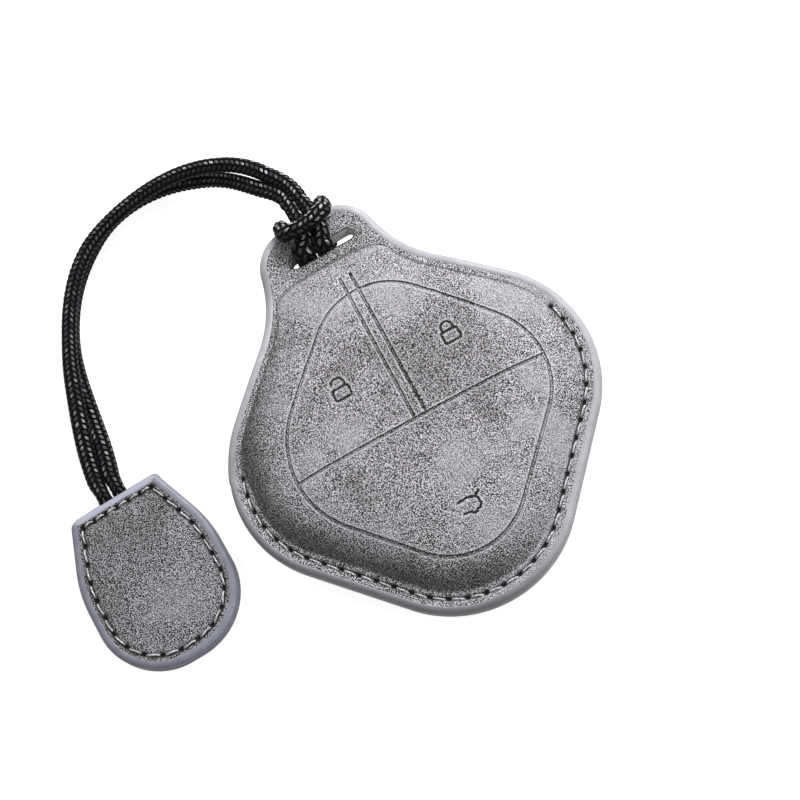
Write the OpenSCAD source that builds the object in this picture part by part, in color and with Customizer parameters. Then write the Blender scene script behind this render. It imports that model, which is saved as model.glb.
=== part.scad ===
// Moulded leather cover for a car key, tied shut at its tab by a doubled braided cord.
// The cover lies on its back on the table: X is its width, Y runs up to the tab, Z is up.
// The cord passes through the tab's slot in a girth hitch and ends in a small sewn leather tag.

/* [Cover outline] */
// Half the width at which the lower and upper side lines would meet
side_reach = 46; // [44:0.1:50]
// Distance of that meeting point below the middle of the cover
side_drop = 3.4; // [0:0.1:8]
// Radius of the round side corners
side_r = 23.5; // [16:0.5:26]
// Distance below the middle at which the two lower side lines would meet
tip_drop = 54.2; // [50:0.5:60]
// Radius of the round lower tip
tip_r = 22.8; // [15:0.1:26]
// Half the width at which each upper side line would meet the tab's side
neck_half_w = 13.85; // [12.5:0.05:17]
// Height of that meeting point above the middle
neck_rise = 28.45; // [26:0.05:31]
// Radius of the hollow between the upper side and the tab
neck_r = 27.5; // [15:0.5:30]
// Half the width of the tab at its outer edge, before its corners are rounded
tab_half_w = 10.55; // [10:0.05:13]
// Height of the tab's outer edge above the middle
tab_rise = 43.5; // [42:0.5:48]
// Radius of the tab's corners
tab_r = 8.3; // [4:0.1:9]

/* [Leather] */
// Thickness of the outer leather
leather_t = 1.2; // [1:0.05:1.6]
// Thickness of the suede lining glued inside the leather
lining_t = 0.45; // [0.3:0.05:0.8]
// Width of the edge paint that rounds off the cut edge
edge_w = 0.9; // [0.5:0.05:1.2]

/* [Moulded bulges] */
// Rise of the front bulge above its rim
front_bulge = 5.85; // [4:0.05:8]
// Depth of the back bulge behind its rim
back_bulge = 6.85; // [4:0.05:8]
// Extra rise that is pressed flat on the back, where the cover lies
back_press = 0.15; // [0.1:0.05:0.5]
// Width of the flat rim along the sewn sides
sewn_rim_w = 3.8; // [3.2:0.1:5]
// Width of the flat rim along the open mouth
mouth_rim_w = 2.4; // [1.6:0.1:3.2]
// Height above the middle at which the bulge ends below the tab
bulge_rise = 32.2; // [30:0.1:33]
// Distance of the bulge's crown below the middle
crown_drop = 6; // [0:0.5:12]

/* [Mouth] */
// Height above the middle at which the seam ends and the open mouth starts
mouth_start = 3.2; // [1:0.1:5]
// Height above the middle at which the lips meet again below the tab
mouth_end = 32.5; // [30:0.1:33]
// How far each lip stands off the parting plane at the middle of the mouth
lip_bow = 2.8; // [2.4:0.1:3.2]

/* [Slot in the tab] */
// Length of the slot, with its round ends
slot_l = 14; // [12:0.1:15]
// Width of the slot
slot_w = 2.4; // [2.3:0.05:3]
// Sideways offset of the slot from the middle of the tab
slot_x = 0.9; // [0.4:0.1:1.2]
// Width of the leather bar between the slot and the tab's outer edge
bar_w = 6.35; // [5.5:0.05:6.8]

/* [Cord] */
// Diameter of the braided cord
cord_d = 3; // [2.8:0.1:3.1]
// Diameter to which the knot squeezes it
knot_d = 2.6; // [2.5:0.05:2.8]
// Thickness to which the slot flattens it
slot_cord_t = 2; // [1.8:0.05:2.05]
// Width to which it spreads in the slot
slot_cord_w = 2.8; // [2.6:0.05:3]
// Sideways place of the hitch on the bar
hitch_x = 0.5; // [-0.5:0.1:1]
// Gap between the knot and the leather that it goes round
knot_gap = 0.15; // [0.1:0.05:0.3]

/* [Tag] */
// Half the width of the tag's straight top edge
tag_top_half_w = 9.3; // [8:0.1:12]
// Half the width of the tag at its widest
tag_half_w = 14.2; // [13:0.1:16]
// Distance below the top edge at which the flared sides turn straight
tag_flare_drop = 13.5; // [10:0.5:18]
// Radius of that turn
tag_flare_r = 26; // [10:1:40]
// Length of the tag from its top edge to its round foot
tag_l = 36; // [32:0.1:40]
// Radius of the tag's small top corners
tag_top_r = 1.5; // [1:0.1:3]
// Radius of the tag's round foot
tag_foot_r = 13; // [8:0.5:14]
// Thickness of each leather face of the tag
tag_leather_t = 1; // [0.8:0.05:1.4]
// Thickness of the stiffener between the tag's faces
tag_core_t = 1.4; // [1.3:0.05:1.8]
// Length of flattened cord that is sewn in between the tag's faces
tail_l = 8; // [5:0.5:12]

/* [Hidden] */

leather_colour = "#9d9aa0";
lining_colour = "#77757a";
coat_colour = "#c9c9d4";
cord_colour = "#1b1b1f";

// Steps along each stretch of an outline
tip_steps = 6;
side_steps = 8;
neck_steps = 6;
corner_steps = 5;
line_steps = 4;
tag_steps = 5;
// Overrun of every cut
cut_over = 0.5;
round_fn = 48;

// Heights
rim_t = leather_t + lining_t;
parting_z = back_bulge + rim_t;
tag_t = 2 * tag_leather_t + tag_core_t;

// Shares of the bulge's radius at which its rings lie, from the rim to the crown
ring_shares = [0, 0.05, 0.12, 0.21, 0.33, 0.5, 0.72];
// Powers of the bulge's profile: how flat its crown is and how steeply it leaves the rim
crown_power = 4;
foot_power = 0.87;
// Share of the lip's bow by which its edge is drawn in
pull_share = 0.25;
// Power of the sine along the mouth that bows the lips
bow_power = 1.4;
// How fast the bow dies out towards the crown
bow_fade_power = 3;
// Share of a layer's depth by which it lies further in at the foot of the bulge
lean_share = 0.35;
// Share of the hollow of the neck along which the bulge still follows the rim
neck_follow_share = 0.5;
// Power of the rounded corner of the bulge below the tab
shoulder_power = 2.9;
// Height over which the rim narrows from the seam to the mouth
rim_blend_l = 8;

// Lines, arcs and outlines

function unit(v) = v / norm(v);
function mix(a, b, k) = a + (b - a) * k;
function ramp(k) = let (c = min(max(k, 0), 1)) c * c * (3 - 2 * c);

// Angle by which a path turns at the middle one of three points
function turn_at(a, p, b) =
    let (u = unit(p - a), v = unit(b - p))
    atan2(u.x * v.y - u.y * v.x, u.x * v.x + u.y * v.y);

// Length of straight side that the arc at corner i uses up
function arc_reach(p, r, i) =
    i <= 0 || i >= len(p) - 1 ? 0 : r[i] * tan(abs(turn_at(p[i - 1], p[i], p[i + 1])) / 2);

// Share of its radius that each arc may keep so that neighbours on one side don't meet
function side_fit(p, r, i) =
    let (room = norm(p[i + 1] - p[i]), used = arc_reach(p, r, i) + arc_reach(p, r, i + 1))
    used > room ? room / used : 1;
function fitted_r(p, r, i) = r[i] * min(side_fit(p, r, i - 1), side_fit(p, r, i));

// Points of the arc at corner i, each as x, y and the outward normal's x, y
function arc_rows(p, r, i, steps) =
    let (
        turn = turn_at(p[i - 1], p[i], p[i + 1]),
        rr = fitted_r(p, r, i),
        u = unit(p[i] - p[i - 1]),
        side = turn > 0 ? 1 : -1,
        inward = [-u.y, u.x] * side,
        start = p[i] - u * rr * tan(abs(turn) / 2),
        mid = start + inward * rr,
        from = atan2(-inward.y, -inward.x)
    )
    [for (k = [0:steps])
        let (a = from + turn * k / steps, d = [cos(a), sin(a)])
        [mid.x + rr * d.x, mid.y + rr * d.y, d.x * side, d.y * side]];

// Rows evenly spaced between two rows, without the two themselves
function between_rows(a, b, steps) = [for (k = [1:steps - 1]) mix(a, b, k / steps)];

function mirror_row(q) = [-q.x, q.y, -q[2], q[3]];
function mirrored_half(half) =
    concat(half, [for (k = [len(half) - 2:-1:1]) mirror_row(half[k])]);

// Lowest point of the tip's arc, below which nothing reaches
tip_half_angle = atan2(side_reach, tip_drop - side_drop);
tip_reach = tip_r / sin(tip_half_angle) - tip_r;
cover_low = tip_reach - tip_drop;
// Shift that puts the cover's middle over the origin
middle_y = -(cover_low + tab_rise) / 2;

cover_corners = [
    [-side_reach, middle_y - side_drop],
    [0, middle_y - tip_drop],
    [side_reach, middle_y - side_drop],
    [neck_half_w, middle_y + neck_rise],
    [tab_half_w, middle_y + tab_rise],
    [0, middle_y + tab_rise]
];
cover_radii = [0, tip_r, side_r, neck_r, tab_r, 0];

tip_rows = [for (k = [tip_steps:2 * tip_steps])
    arc_rows(cover_corners, cover_radii, 1, 2 * tip_steps)[k]];
side_rows = arc_rows(cover_corners, cover_radii, 2, side_steps);
neck_rows = arc_rows(cover_corners, cover_radii, 3, neck_steps);
corner_rows = arc_rows(cover_corners, cover_radii, 4, corner_steps);
half_rows = concat(
    tip_rows,
    between_rows(tip_rows[tip_steps], side_rows[0], line_steps),
    side_rows,
    between_rows(side_rows[side_steps], neck_rows[0], line_steps),
    neck_rows,
    corner_rows,
    [[0, middle_y + tab_rise, 0, 1]]
);
outline = mirrored_half(half_rows);
outline_n = len(outline);
// Number of the row at the top of the tab, and of the row where the bulge leaves the rim
top_i = len(half_rows) - 1;
neck_i = tip_steps + line_steps + side_steps + line_steps;
shoulder_i = neck_i + round(neck_follow_share * neck_steps);

// The mouth, the rim and the bulge

function mouth_share(y) = (y - middle_y - mouth_start) / (mouth_end - mouth_start);
function bow_at(q) =
    let (s = min(max(mouth_share(q.y), 0), 1))
    lip_bow * pow(sin(180 * s), bow_power);

// Point of the rim at row i, inset by w along the normal and drawn in with the bow
function rim_point(i, w) =
    let (q = outline[i], back = w + pull_share * bow_at(q))
    [q.x - q[2] * back, q.y - q[3] * back];

function rim_w(q) =
    mix(sewn_rim_w, mouth_rim_w, ramp((q.y - middle_y - mouth_start) / rim_blend_l + 0.5));

crown = [0, middle_y - crown_drop];

// Foot of the bulge at row i of the right half: along the rim, then across below the tab
function right_foot(i) =
    i <= shoulder_i
    ? rim_point(i, rim_w(outline[i]))
    : let (
        s = rim_point(shoulder_i, rim_w(outline[shoulder_i])),
        a = 90 * (i - shoulder_i) / (top_i - shoulder_i)
    )
    [
        s.x * pow(cos(a), 2 / shoulder_power),
        mix(s.y, middle_y + bulge_rise, pow(sin(a), 2 / shoulder_power))
    ];
function bulge_foot(i) =
    i <= top_i ? right_foot(i) : let (p = right_foot(outline_n - i)) [-p.x, p.y];

// Rise of the bulge at share t of the way from its foot to its crown
function rise(t) = pow(1 - pow(1 - t, crown_power), foot_power);

// Ring at depth d below the outer face and share t of the way to the crown
function bulge_ring(d, t, bulge) =
    [for (i = [0:outline_n - 1])
        let (
            foot = bulge_foot(i),
            start = foot + unit(crown - foot) * lean_share * d,
            p = mix(start, crown, t)
        )
        [p.x, p.y, rim_t - d + bulge * rise(t) + bow_at(outline[i]) * pow(1 - t, bow_fade_power)]];
function rim_ring(d) =
    [for (i = [0:outline_n - 1])
        let (p = rim_point(i, edge_w))
        [p.x, p.y, rim_t - d + bow_at(outline[i])]];
function layer_rings(d, bulge) =
    concat([rim_ring(d)], [for (t = ring_shares) bulge_ring(d, t, bulge)]);
function reversed(v) = [for (k = [len(v) - 1:-1:0]) v[k]];
function middle(ring) = [for (c = [0:2]) [for (p = ring) p[c]] * [for (p = ring) 1] / len(ring)];

// Solid through a row of rings with equal counts, its two ends closed by fans to given points.
// The quads up to ring split_i are split along their other diagonal.
module skin(rings, first, last, split_i = 0) {
    n = len(rings[0]);
    m = len(rings);
    points = concat([for (r = rings) each r], [first, last]);
    sides = [for (j = [0:m - 2]) for (k = [0:n - 1])
        let (a = j * n + k, b = j * n + (k + 1) % n)
        each j < split_i ? [[a, b, a + n], [b, b + n, a + n]] : [[a, b, b + n], [a, b + n, a + n]]];
    start_fan = [for (k = [0:n - 1]) [m * n, (k + 1) % n, k]];
    end_fan = [for (k = [0:n - 1]) [m * n + 1, (m - 1) * n + k, (m - 1) * n + (k + 1) % n]];
    polyhedron(points = points, faces = concat(sides, start_fan, end_fan), convexity = 8);
}

// One moulded layer between two depths, over the parting plane. Its outer face is split like the
// inner face of the layer over it, so that glued faces are the same.
module layer(d_out, d_in, bulge) {
    skin(
        concat(reversed(layer_rings(d_out, bulge)), layer_rings(d_in, bulge)),
        [crown.x, crown.y, rim_t - d_out + bulge],
        [crown.x, crown.y, rim_t - d_in + bulge],
        len(ring_shares)
    );
}

// Round-ended slot through the tab
module slot_cut() {
    level = middle_y + tab_rise - bar_w - slot_w / 2;
    reach = slot_l / 2 - slot_w / 2;
    depth = 2 * (rim_t + cut_over);
    translate([slot_x, level, parting_z]) {
        cube([2 * reach, slot_w, depth], center = true);
        for (side = [-1, 1])
            translate([side * reach, 0, 0])
                cylinder(d = slot_w, h = depth, center = true, $fn = round_fn);
    }
}

module front_layer(d_out, d_in) {
    difference() {
        translate([0, 0, parting_z])
            layer(d_out, d_in, front_bulge);
        slot_cut();
    }
}

// The back layers are pressed flat where they lie on the table
module back_layer(d_out, d_in) {
    difference() {
        translate([0, 0, parting_z])
            mirror([0, 0, 1])
                layer(d_out, d_in, back_bulge + back_press);
        slot_cut();
        translate([0, middle_y, -parting_z])
            cube([4 * side_reach, 4 * side_reach, 2 * parting_z], center = true);
    }
}

module front_shell() {
    color(leather_colour)
        front_layer(0, leather_t);
}

module front_lining() {
    color(lining_colour)
        front_layer(leather_t, rim_t);
}

module back_shell() {
    color(leather_colour)
        back_layer(0, leather_t);
}

module back_lining() {
    color(lining_colour)
        back_layer(leather_t, rim_t);
}

// Edge paint

// Rounded section of the paint at row i, between two heights
function coat_section(i, low, high) =
    let (mid_z = (low + high) / 2, half = (high - low) / 2)
    [for (a = [-90:30:90])
        let (p = rim_point(i, edge_w * (1 - cos(a))))
        [p.x, p.y, mid_z + half * sin(a)]];

// First row of the right half that lies above the end of the seam
mouth_i = [for (i = [0:top_i]) if (bow_at(outline[i]) > 0) i][0] - 1;

module coat(rows, low_lift, high_lift, lift_share) {
    sections = [for (i = rows)
        let (lift = bow_at(outline[i % outline_n]) * lift_share)
        coat_section(i % outline_n, low_lift + lift, high_lift + lift)];
    skin(sections, middle(sections[0]), middle(sections[len(sections) - 1]));
}

// Paint over both layers round the sewn tip, from one end of the seam to the other
module seam_edge_coat() {
    color(coat_colour)
        coat(
            [outline_n - mouth_i:outline_n + mouth_i],
            parting_z - rim_t,
            parting_z + rim_t,
            0
        );
}

module front_lip_coat() {
    color(coat_colour)
        coat([mouth_i:outline_n - mouth_i], parting_z, parting_z + rim_t, 1);
}

module back_lip_coat() {
    color(coat_colour)
        coat([mouth_i:outline_n - mouth_i], parting_z - rim_t, parting_z, -1);
}

// The cord

cord_sides = 8;
// Gap between the two strands of the doubled cord
strand_gap = 0.1;
strand_off = (cord_d + strand_gap) / 2;

// Direction of the path at each point, and side vectors carried along it without twist
function path_dir(p, i) = unit(p[min(i + 1, len(p) - 1)] - p[max(i - 1, 0)]);
function square_to(v, t) = unit(v - (v * t) * t);
function carried(p, i, v) =
    let (w = square_to(v, path_dir(p, i)))
    i == len(p) - 1 ? [w] : concat([w], carried(p, i + 1, w));

// Rings along a path whose rows are x, y, z and the radii across and along the side vector
function cord_rings(rows) =
    let (
        p = [for (q = rows) [q.x, q.y, q.z]],
        frames = carried(p, 0, abs(path_dir(p, 0).x) > 0.9 ? [0, 0, 1] : [1, 0, 0])
    )
    [for (i = [0:len(p) - 1])
        let (t = path_dir(p, i), s = frames[i], u = cross(t, s))
        [for (k = [0:cord_sides - 1])
            let (a = 360 * (k + 0.5) / cord_sides)
            p[i] + s * rows[i][3] * cos(a) - u * rows[i][4] * sin(a)]];

module cord_piece(rings, from, to) {
    part = [for (i = [from:to]) rings[i]];
    skin(part, middle(part[0]), middle(part[len(part) - 1]));
}

// The girth hitch, seen from its middle: the bar that it goes round
edge_y = middle_y + tab_rise;
slot_top = edge_y - bar_w;
knot_r = knot_d / 2;
// Gap between the flattened cord and the bar inside the slot
slot_gap = 0.15;
// Radii of the bends round the slot's edge and round the tab's outer edge
slot_bend = slot_cord_t / 2 + slot_gap;
edge_bend = knot_r + knot_gap;
// Height of the strands over the bar, and half their spacing in the slot
front_z = rim_t + edge_bend;
slot_strand_off = 2.4;
// Half the spacing of the loop's legs where they go round the outer edge
leg_off = 4.7;
// Step from a strand over to the leg that crosses it, and how far in the crossbar lies
cross_step = knot_d + knot_gap;
cross_in = 2.4;
// How far out, and how much lower than on the bar, the strands leave the knot
exit_out = 3.8;
exit_drop = 0.45;
exit_y = edge_y + exit_out;
exit_z = front_z - exit_drop;
// Fall of each strand as a share of its way out, and the length of it that bends at the knot
exit_fall_share = 0.2;
bend_l = 3.4;
// Sideways lean of the knot as a share of the distance from the outer edge
lean_x_share = 0.05;
// Shares of the way along the front and the back of the bar
front_shares = [0, 0.15, 0.4, 0.65, 0.88];
back_shares = [0.4, 0.8];

// Right half of its centre line: x, y, z from the parting plane, half width and half thickness
front_run = [for (s = front_shares) [
    mix(strand_off, slot_strand_off, s),
    mix(exit_y, slot_top, s),
    mix(exit_z, front_z, ramp(s / front_shares[2])),
    knot_r, knot_r
]];
slot_turn = [for (a = [0:45:90]) [
    slot_strand_off,
    slot_top - slot_bend * sin(a),
    rim_t + slot_bend * cos(a),
    slot_cord_w / 2, slot_cord_t / 2
]];
slot_return = [for (q = reversed(slot_turn)) [q.x, q.y, -q.z, q[3], q[4]]];
back_run = [for (s = back_shares)
    [mix(slot_strand_off, leg_off, s), mix(slot_top, edge_y, s), -front_z, knot_r, knot_r]];
// Round the painted edge, from the back to the front
edge_turn = [for (a = [30:30:150]) [
    leg_off,
    edge_y - edge_w + (edge_w + edge_bend) * sin(a),
    -front_z * cos(a),
    knot_r, knot_r
]];
// Up and over the strand, then level to the middle of the crossbar
crossed_x = mix(strand_off, slot_strand_off, front_shares[2]);
cross_run = concat(
    [for (a = [20:25:95]) [
        crossed_x + cross_step * cos(a),
        edge_y - cross_in * a / 100,
        front_z + cross_step * sin(a),
        knot_r, knot_r
    ]],
    [[0, edge_y - cross_in, front_z + cross_step, knot_r, knot_r]]
);
half_hitch = concat(front_run, slot_turn, slot_return, back_run, edge_turn, cross_run);
function hitch_row(q, side) = [
    hitch_x + side * q.x + lean_x_share * (q.y - edge_y), q.y, parting_z + q.z, q[3], q[4]
];

// Row of a free strand at distance d out of the knot
function exit_row(side, d) = [
    hitch_x + side * strand_off + lean_x_share * exit_out,
    exit_y + d,
    parting_z + exit_z - exit_fall_share * d,
    cord_d / 2, cord_d / 2
];

// Knot and strand each have one more row, on the other's side, so that both are cut at one plane
hitch_rows = concat(
    [exit_row(-1, bend_l / 2)],
    [for (q = half_hitch) hitch_row(q, -1)],
    [for (k = [len(half_hitch) - 2:-1:0]) hitch_row(half_hitch[k], 1)],
    [exit_row(1, bend_l / 2)]
);

// Free strands, from the hitch round the left of the cover to the tag: chosen points
outer_route = [
    [1.8, 52, 10.5],
    [0.4, 54, 10.3],
    [-3, 59, 9.7],
    [-8.1, 63.2, 9],
    [-13.9, 66.2, 7.9],
    [-20.3, 67.9, 6.5],
    [-27.1, 68.2, 5.2],
    [-33.9, 67, 4.6],
    [-40.1, 64.4, 4.6],
    [-45.1, 60.1, 4.6],
    [-49.1, 54.5, 4.6],
    [-52.2, 48.2, 4.6],
    [-54.7, 41.8, 4.6],
    [-56.5, 35.6, 4.3],
    [-57.9, 31, 3.6],
    [-59.1, 27, 2.6],
    [-59.9, 23.4, 1.9]
];
inner_route = [
    [-1.5, 51.4, 10.1],
    [-2.7, 52.9, 9.5],
    [-5.7, 57.6, 7.6],
    [-10.1, 62.4, 5.4],
    [-15.7, 66.2, 3.6],
    [-22.1, 68.9, 2.2],
    [-28.9, 69.6, 1.5],
    [-35.5, 68, 1.5],
    [-41.5, 64.1, 1.5],
    [-46.5, 59.2, 1.5],
    [-50.4, 53.2, 1.5],
    [-52.9, 47.2, 1.5],
    [-54.3, 41.4, 1.5],
    [-55, 36.4, 1.5],
    [-55.5, 31.8, 1.5],
    [-55.9, 27.4, 1.5],
    [-56.4, 23.4, 1.6]
];

// Place of the tag: the middle of its top edge on the table, and its turn
tag_at = [-58.6, 14.4];
tag_turn = 2;
// Half the spacing, half the width and the clearance of the two flattened ends in the tag
tail_off = 1.6;
tail_half_w = 1.55;
tail_gap = 0.05;
// Distance from the tag's top edge at which the cord is round again
tail_round = 1.6;
// Length of each strand that bends at the tag
lower_bend_l = 3.2;

function tag_point(x, y) =
    [tag_at.x + x * cos(tag_turn) - y * sin(tag_turn), tag_at.y + x * sin(tag_turn) + y * cos(tag_turn)];
function tag_row(x, y, a, b) = let (p = tag_point(x, y)) [p.x, p.y, tag_t / 2, a, b];

// Whole strand on one side: flat end in the tag, lower bend, free route, upper bend, knot
function strand_rows(side, route, tail_x) =
    let (r = cord_d / 2, flat = tag_core_t / 2 - tail_gap)
    concat(
        [
            tag_row(tail_x, -tail_l, tail_half_w, flat),
            tag_row(tail_x, tail_gap, tail_half_w, flat)
        ],
        [for (d = [0, lower_bend_l / 2, lower_bend_l]) tag_row(tail_x, tail_round + d, r, r)],
        [for (q = reversed(route)) [q.x, q.y, q.z, r, r]],
        [for (d = [bend_l, bend_l / 2, 0]) exit_row(side, d)],
        [hitch_row(half_hitch[1], side)]
    );
outer_rows = strand_rows(1, outer_route, -tail_off);
inner_rows = strand_rows(-1, inner_route, tail_off);
outer_rings = cord_rings(outer_rows);
inner_rings = cord_rings(inner_rows);
// Numbers of the rows at which the bend at the tag, the free strand and the bend at the knot start
lower_i = 2;
free_i = 4;
upper_i = len(outer_rows) - 4;

module cord_hitch() {
    color(cord_colour)
        cord_piece(cord_rings(hitch_rows), 1, len(hitch_rows) - 2);
}

module cord_upper_bend() {
    color(cord_colour)
        for (rings = [outer_rings, inner_rings])
            cord_piece(rings, upper_i, upper_i + 2);
}

module cord_strand_outer() {
    color(cord_colour)
        cord_piece(outer_rings, free_i, upper_i);
}

module cord_strand_inner() {
    color(cord_colour)
        cord_piece(inner_rings, free_i, upper_i);
}

module cord_lower_bend() {
    color(cord_colour)
        for (rings = [outer_rings, inner_rings])
            cord_piece(rings, lower_i, free_i);
}

module cord_tails() {
    color(cord_colour)
        for (rings = [outer_rings, inner_rings])
            cord_piece(rings, 0, lower_i);
}

// The tag

tag_corners = [
    [0, 0],
    [tag_top_half_w, 0],
    [tag_half_w, -tag_flare_drop],
    [tag_half_w, -tag_l],
    [0, -tag_l]
];
tag_radii = [0, tag_top_r, tag_flare_r, tag_foot_r, 0];
tag_half = concat(
    [[0, 0, 0, 1]],
    [for (i = [1:3]) each [for (q = arc_rows(tag_corners, tag_radii, i, i == 3 ? 2 * tag_steps : tag_steps))
        [q.x, q.y, -q[2], -q[3]]]],
    [[0, -tag_l, 0, -1]]
);
tag_outline = mirrored_half(tag_half);
function tag_inset(w) = [for (q = tag_outline) [q.x - q[2] * w, q.y - q[3] * w]];

module at_tag() {
    translate([tag_at.x, tag_at.y, 0])
        rotate([0, 0, tag_turn])
            children();
}

module tag_sheet(low, thick) {
    translate([0, 0, low])
        linear_extrude(height = thick)
            polygon(tag_inset(edge_w));
}

// Room for the two flattened cord ends between the faces
module tail_channel() {
    half = tail_off + tail_half_w + 2 * tail_gap;
    translate([-half, -tail_l - tail_gap, tag_leather_t])
        cube([2 * half, tail_l + tail_round, tag_core_t]);
}

module tag_front() {
    color(leather_colour)
        at_tag()
            tag_sheet(tag_leather_t + tag_core_t, tag_leather_t);
}

module tag_core() {
    color(lining_colour)
        at_tag()
            difference() {
                tag_sheet(tag_leather_t, tag_core_t);
                tail_channel();
            }
}

module tag_back() {
    color(leather_colour)
        at_tag()
            tag_sheet(0, tag_leather_t);
}

// Rounded edge paint all round the tag, parted where the cord goes in
module tag_edge_coat() {
    n = len(tag_outline);
    steps = [-90:30:90];
    m = len([for (a = steps) a]);
    points = [for (q = tag_outline) for (a = steps)
        let (w = edge_w * (1 - cos(a)))
        [q.x - q[2] * w, q.y - q[3] * w, tag_t / 2 * (1 + sin(a))]];
    faces = [for (j = [0:n - 1]) for (k = [0:m - 1])
        let (
            a = j * m + k,
            b = j * m + (k + 1) % m,
            c = (j + 1) % n * m + (k + 1) % m,
            d = (j + 1) % n * m + k
        )
        each [[a, c, b], [a, d, c]]];
    color(coat_colour)
        at_tag()
            difference() {
                polyhedron(points = points, faces = faces, convexity = 8);
                tail_channel();
            }
}

front_shell();
front_lining();
back_shell();
back_lining();
seam_edge_coat();
front_lip_coat();
back_lip_coat();
cord_hitch();
cord_upper_bend();
cord_strand_outer();
cord_strand_inner();
cord_lower_bend();
cord_tails();
tag_front();
tag_core();
tag_back();
tag_edge_coat();
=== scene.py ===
import math

import bpy
import numpy as np
from mathutils import Matrix, Vector


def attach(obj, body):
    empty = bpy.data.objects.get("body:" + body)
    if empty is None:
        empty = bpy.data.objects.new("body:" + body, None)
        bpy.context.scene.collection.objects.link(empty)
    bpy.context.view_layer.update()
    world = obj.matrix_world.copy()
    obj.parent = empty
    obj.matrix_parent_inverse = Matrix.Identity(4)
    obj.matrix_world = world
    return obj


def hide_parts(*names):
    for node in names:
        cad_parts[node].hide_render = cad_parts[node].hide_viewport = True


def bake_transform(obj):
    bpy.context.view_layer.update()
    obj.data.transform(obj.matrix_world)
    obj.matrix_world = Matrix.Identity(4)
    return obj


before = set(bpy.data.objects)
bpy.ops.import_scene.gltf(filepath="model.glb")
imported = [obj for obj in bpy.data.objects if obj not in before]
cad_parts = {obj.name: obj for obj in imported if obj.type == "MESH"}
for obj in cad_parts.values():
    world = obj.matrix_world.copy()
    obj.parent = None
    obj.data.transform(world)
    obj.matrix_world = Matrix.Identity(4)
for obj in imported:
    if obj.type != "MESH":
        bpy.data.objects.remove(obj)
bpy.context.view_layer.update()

# A moulded nubuck cover for a car key, with a doubled braided cord hitched round its tab
# and a small sewn tag. Sizes are in millimetres, as the solids have them, and meshes are
# put into the scene in metres.
MM = 0.001

# Outline of the cover: corners where its side lines would meet, and the radii between them
SIDE_REACH, SIDE_DROP, SIDE_R = 46.0, 3.4, 23.5
TIP_DROP, TIP_R = 54.2, 22.8
NECK_HALF_W, NECK_RISE, NECK_R = 13.85, 28.45, 27.5
TAB_HALF_W, TAB_RISE, TAB_R = 10.55, 43.5, 8.3
TIP_REACH = TIP_R / math.sin(math.atan2(SIDE_REACH, TIP_DROP - SIDE_DROP)) - TIP_R
MIDDLE_Y = (TIP_DROP - TIP_REACH - TAB_RISE) / 2

# Leather, lining, rims and bulges
LEATHER_T, LINING_T, EDGE_W = 1.2, 0.45, 0.9
RIM_T = LEATHER_T + LINING_T
FRONT_BULGE, BACK_BULGE, BACK_PRESS = 5.85, 6.85, 0.15
PARTING_Z = BACK_BULGE + RIM_T
SEWN_RIM_W, MOUTH_RIM_W, RIM_BLEND_L = 3.8, 2.4, 8.0
BULGE_RISE, CROWN_DROP = 32.2, 6.0
MOUTH_START, MOUTH_END, LIP_BOW = 3.2, 32.5, 2.8
MOUTH_Y = MIDDLE_Y + MOUTH_START
CROWN_POWER, FOOT_POWER, SHOULDER_POWER = 4.0, 0.87, 2.9
BOW_POWER, BOW_FADE_POWER = 1.4, 3.0
PULL_SHARE, LEAN_SHARE = 0.25, 0.35
CROWN = np.array([0.0, MIDDLE_Y - CROWN_DROP])
# Reach of the soft fillet where the bulge leaves the rim, and of the eased bend of its foot at the shoulder
FILLET_W, SHOULDER_EASE, SHOULDER_REACH = 0.55, 2.2, 9.0

# Slot through the tab
SLOT_L, SLOT_W, SLOT_X, BAR_W = 14.0, 2.4, 0.9, 6.35
SLOT_R = SLOT_W / 2
EDGE_Y = MIDDLE_Y + TAB_RISE
SLOT_TOP = EDGE_Y - BAR_W

# Pressed lines on the front: the button field's corners and radii, its split line and its pair of lines
FIELD_CORNERS = np.array([[3.3, 29.2], [-30.9, -5.0], [0.0, -40.5], [32.7, -6.6]])
FIELD_RADII = [13.4, 17.9, 14.1, 15.4]
STRAIGHT_LINES = np.array([
    [[-24.2, -6.0], [27.2, -6.9]], [[1.16, 27.0], [0.72, -5.8]], [[3.36, 26.8], [3.13, -5.8]],
])
LINE_FLOOR_W, LINE_WALL_W, LINE_DEPTH = 0.155, 0.22, 0.32
SIGN_FLOOR_W, SIGN_WALL_W, SIGN_DEPTH = 0.03, 0.2, 0.25
# Place and width of the painted highlight beside the pressed lines
LINE_HIGHLIGHT_AT, LINE_HIGHLIGHT_W = 0.5, 0.12
LOCK_AT, OPEN_LOCK_AT, BOOT_AT = (14.2, 5.4), (-8.9, 6.0), (1.9, -25.6)

# Seams, and insets of the dark creases that lie beside them
SEAM_INSET, SEAM_PITCH, SEAM_TOP_Y, CREASE_INSET = 2.6, 3.5, 2.8, 2.85
TAG_SEAM_INSET, TAG_TOP_PITCH, TAG_SIDE_PITCH, TAG_CREASE_INSET = 2.3, 2.4, 3.7, 2.05
# Depth and width of the bells that a seam and a hole press into the leather
SEAM_SINK, SEAM_SINK_W, HOLE_SINK, HOLE_SINK_W = 0.16, 0.42, 0.5, 0.46
# Stitches: the thread, the turns of its plies, its slant, place and height, and where it leaves its holes
THREAD_R, PLY_TURNS, STITCH_SLANT, STITCH_BESIDE, STITCH_RISE, STITCH_DIP = 0.16, 1.1, 0.3, 0.12, 0.2, 0.5
STITCH_ENDS = 0.17, 0.83

# Edge paint: how far it stands out from the cut edge and up from the leather, how deep it turns down
# into it, up to what angle it is drawn, and by how many rows and how deep the lips' beads run into
# the seam's bead
PAINT_OUT, PAINT_RISE, PAINT_TURN_IN, PAINT_END_A = 0.32, 0.1, 0.08, 118
LIP_TUCK, LIP_TUCK_IN = 8, 0.5

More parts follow.
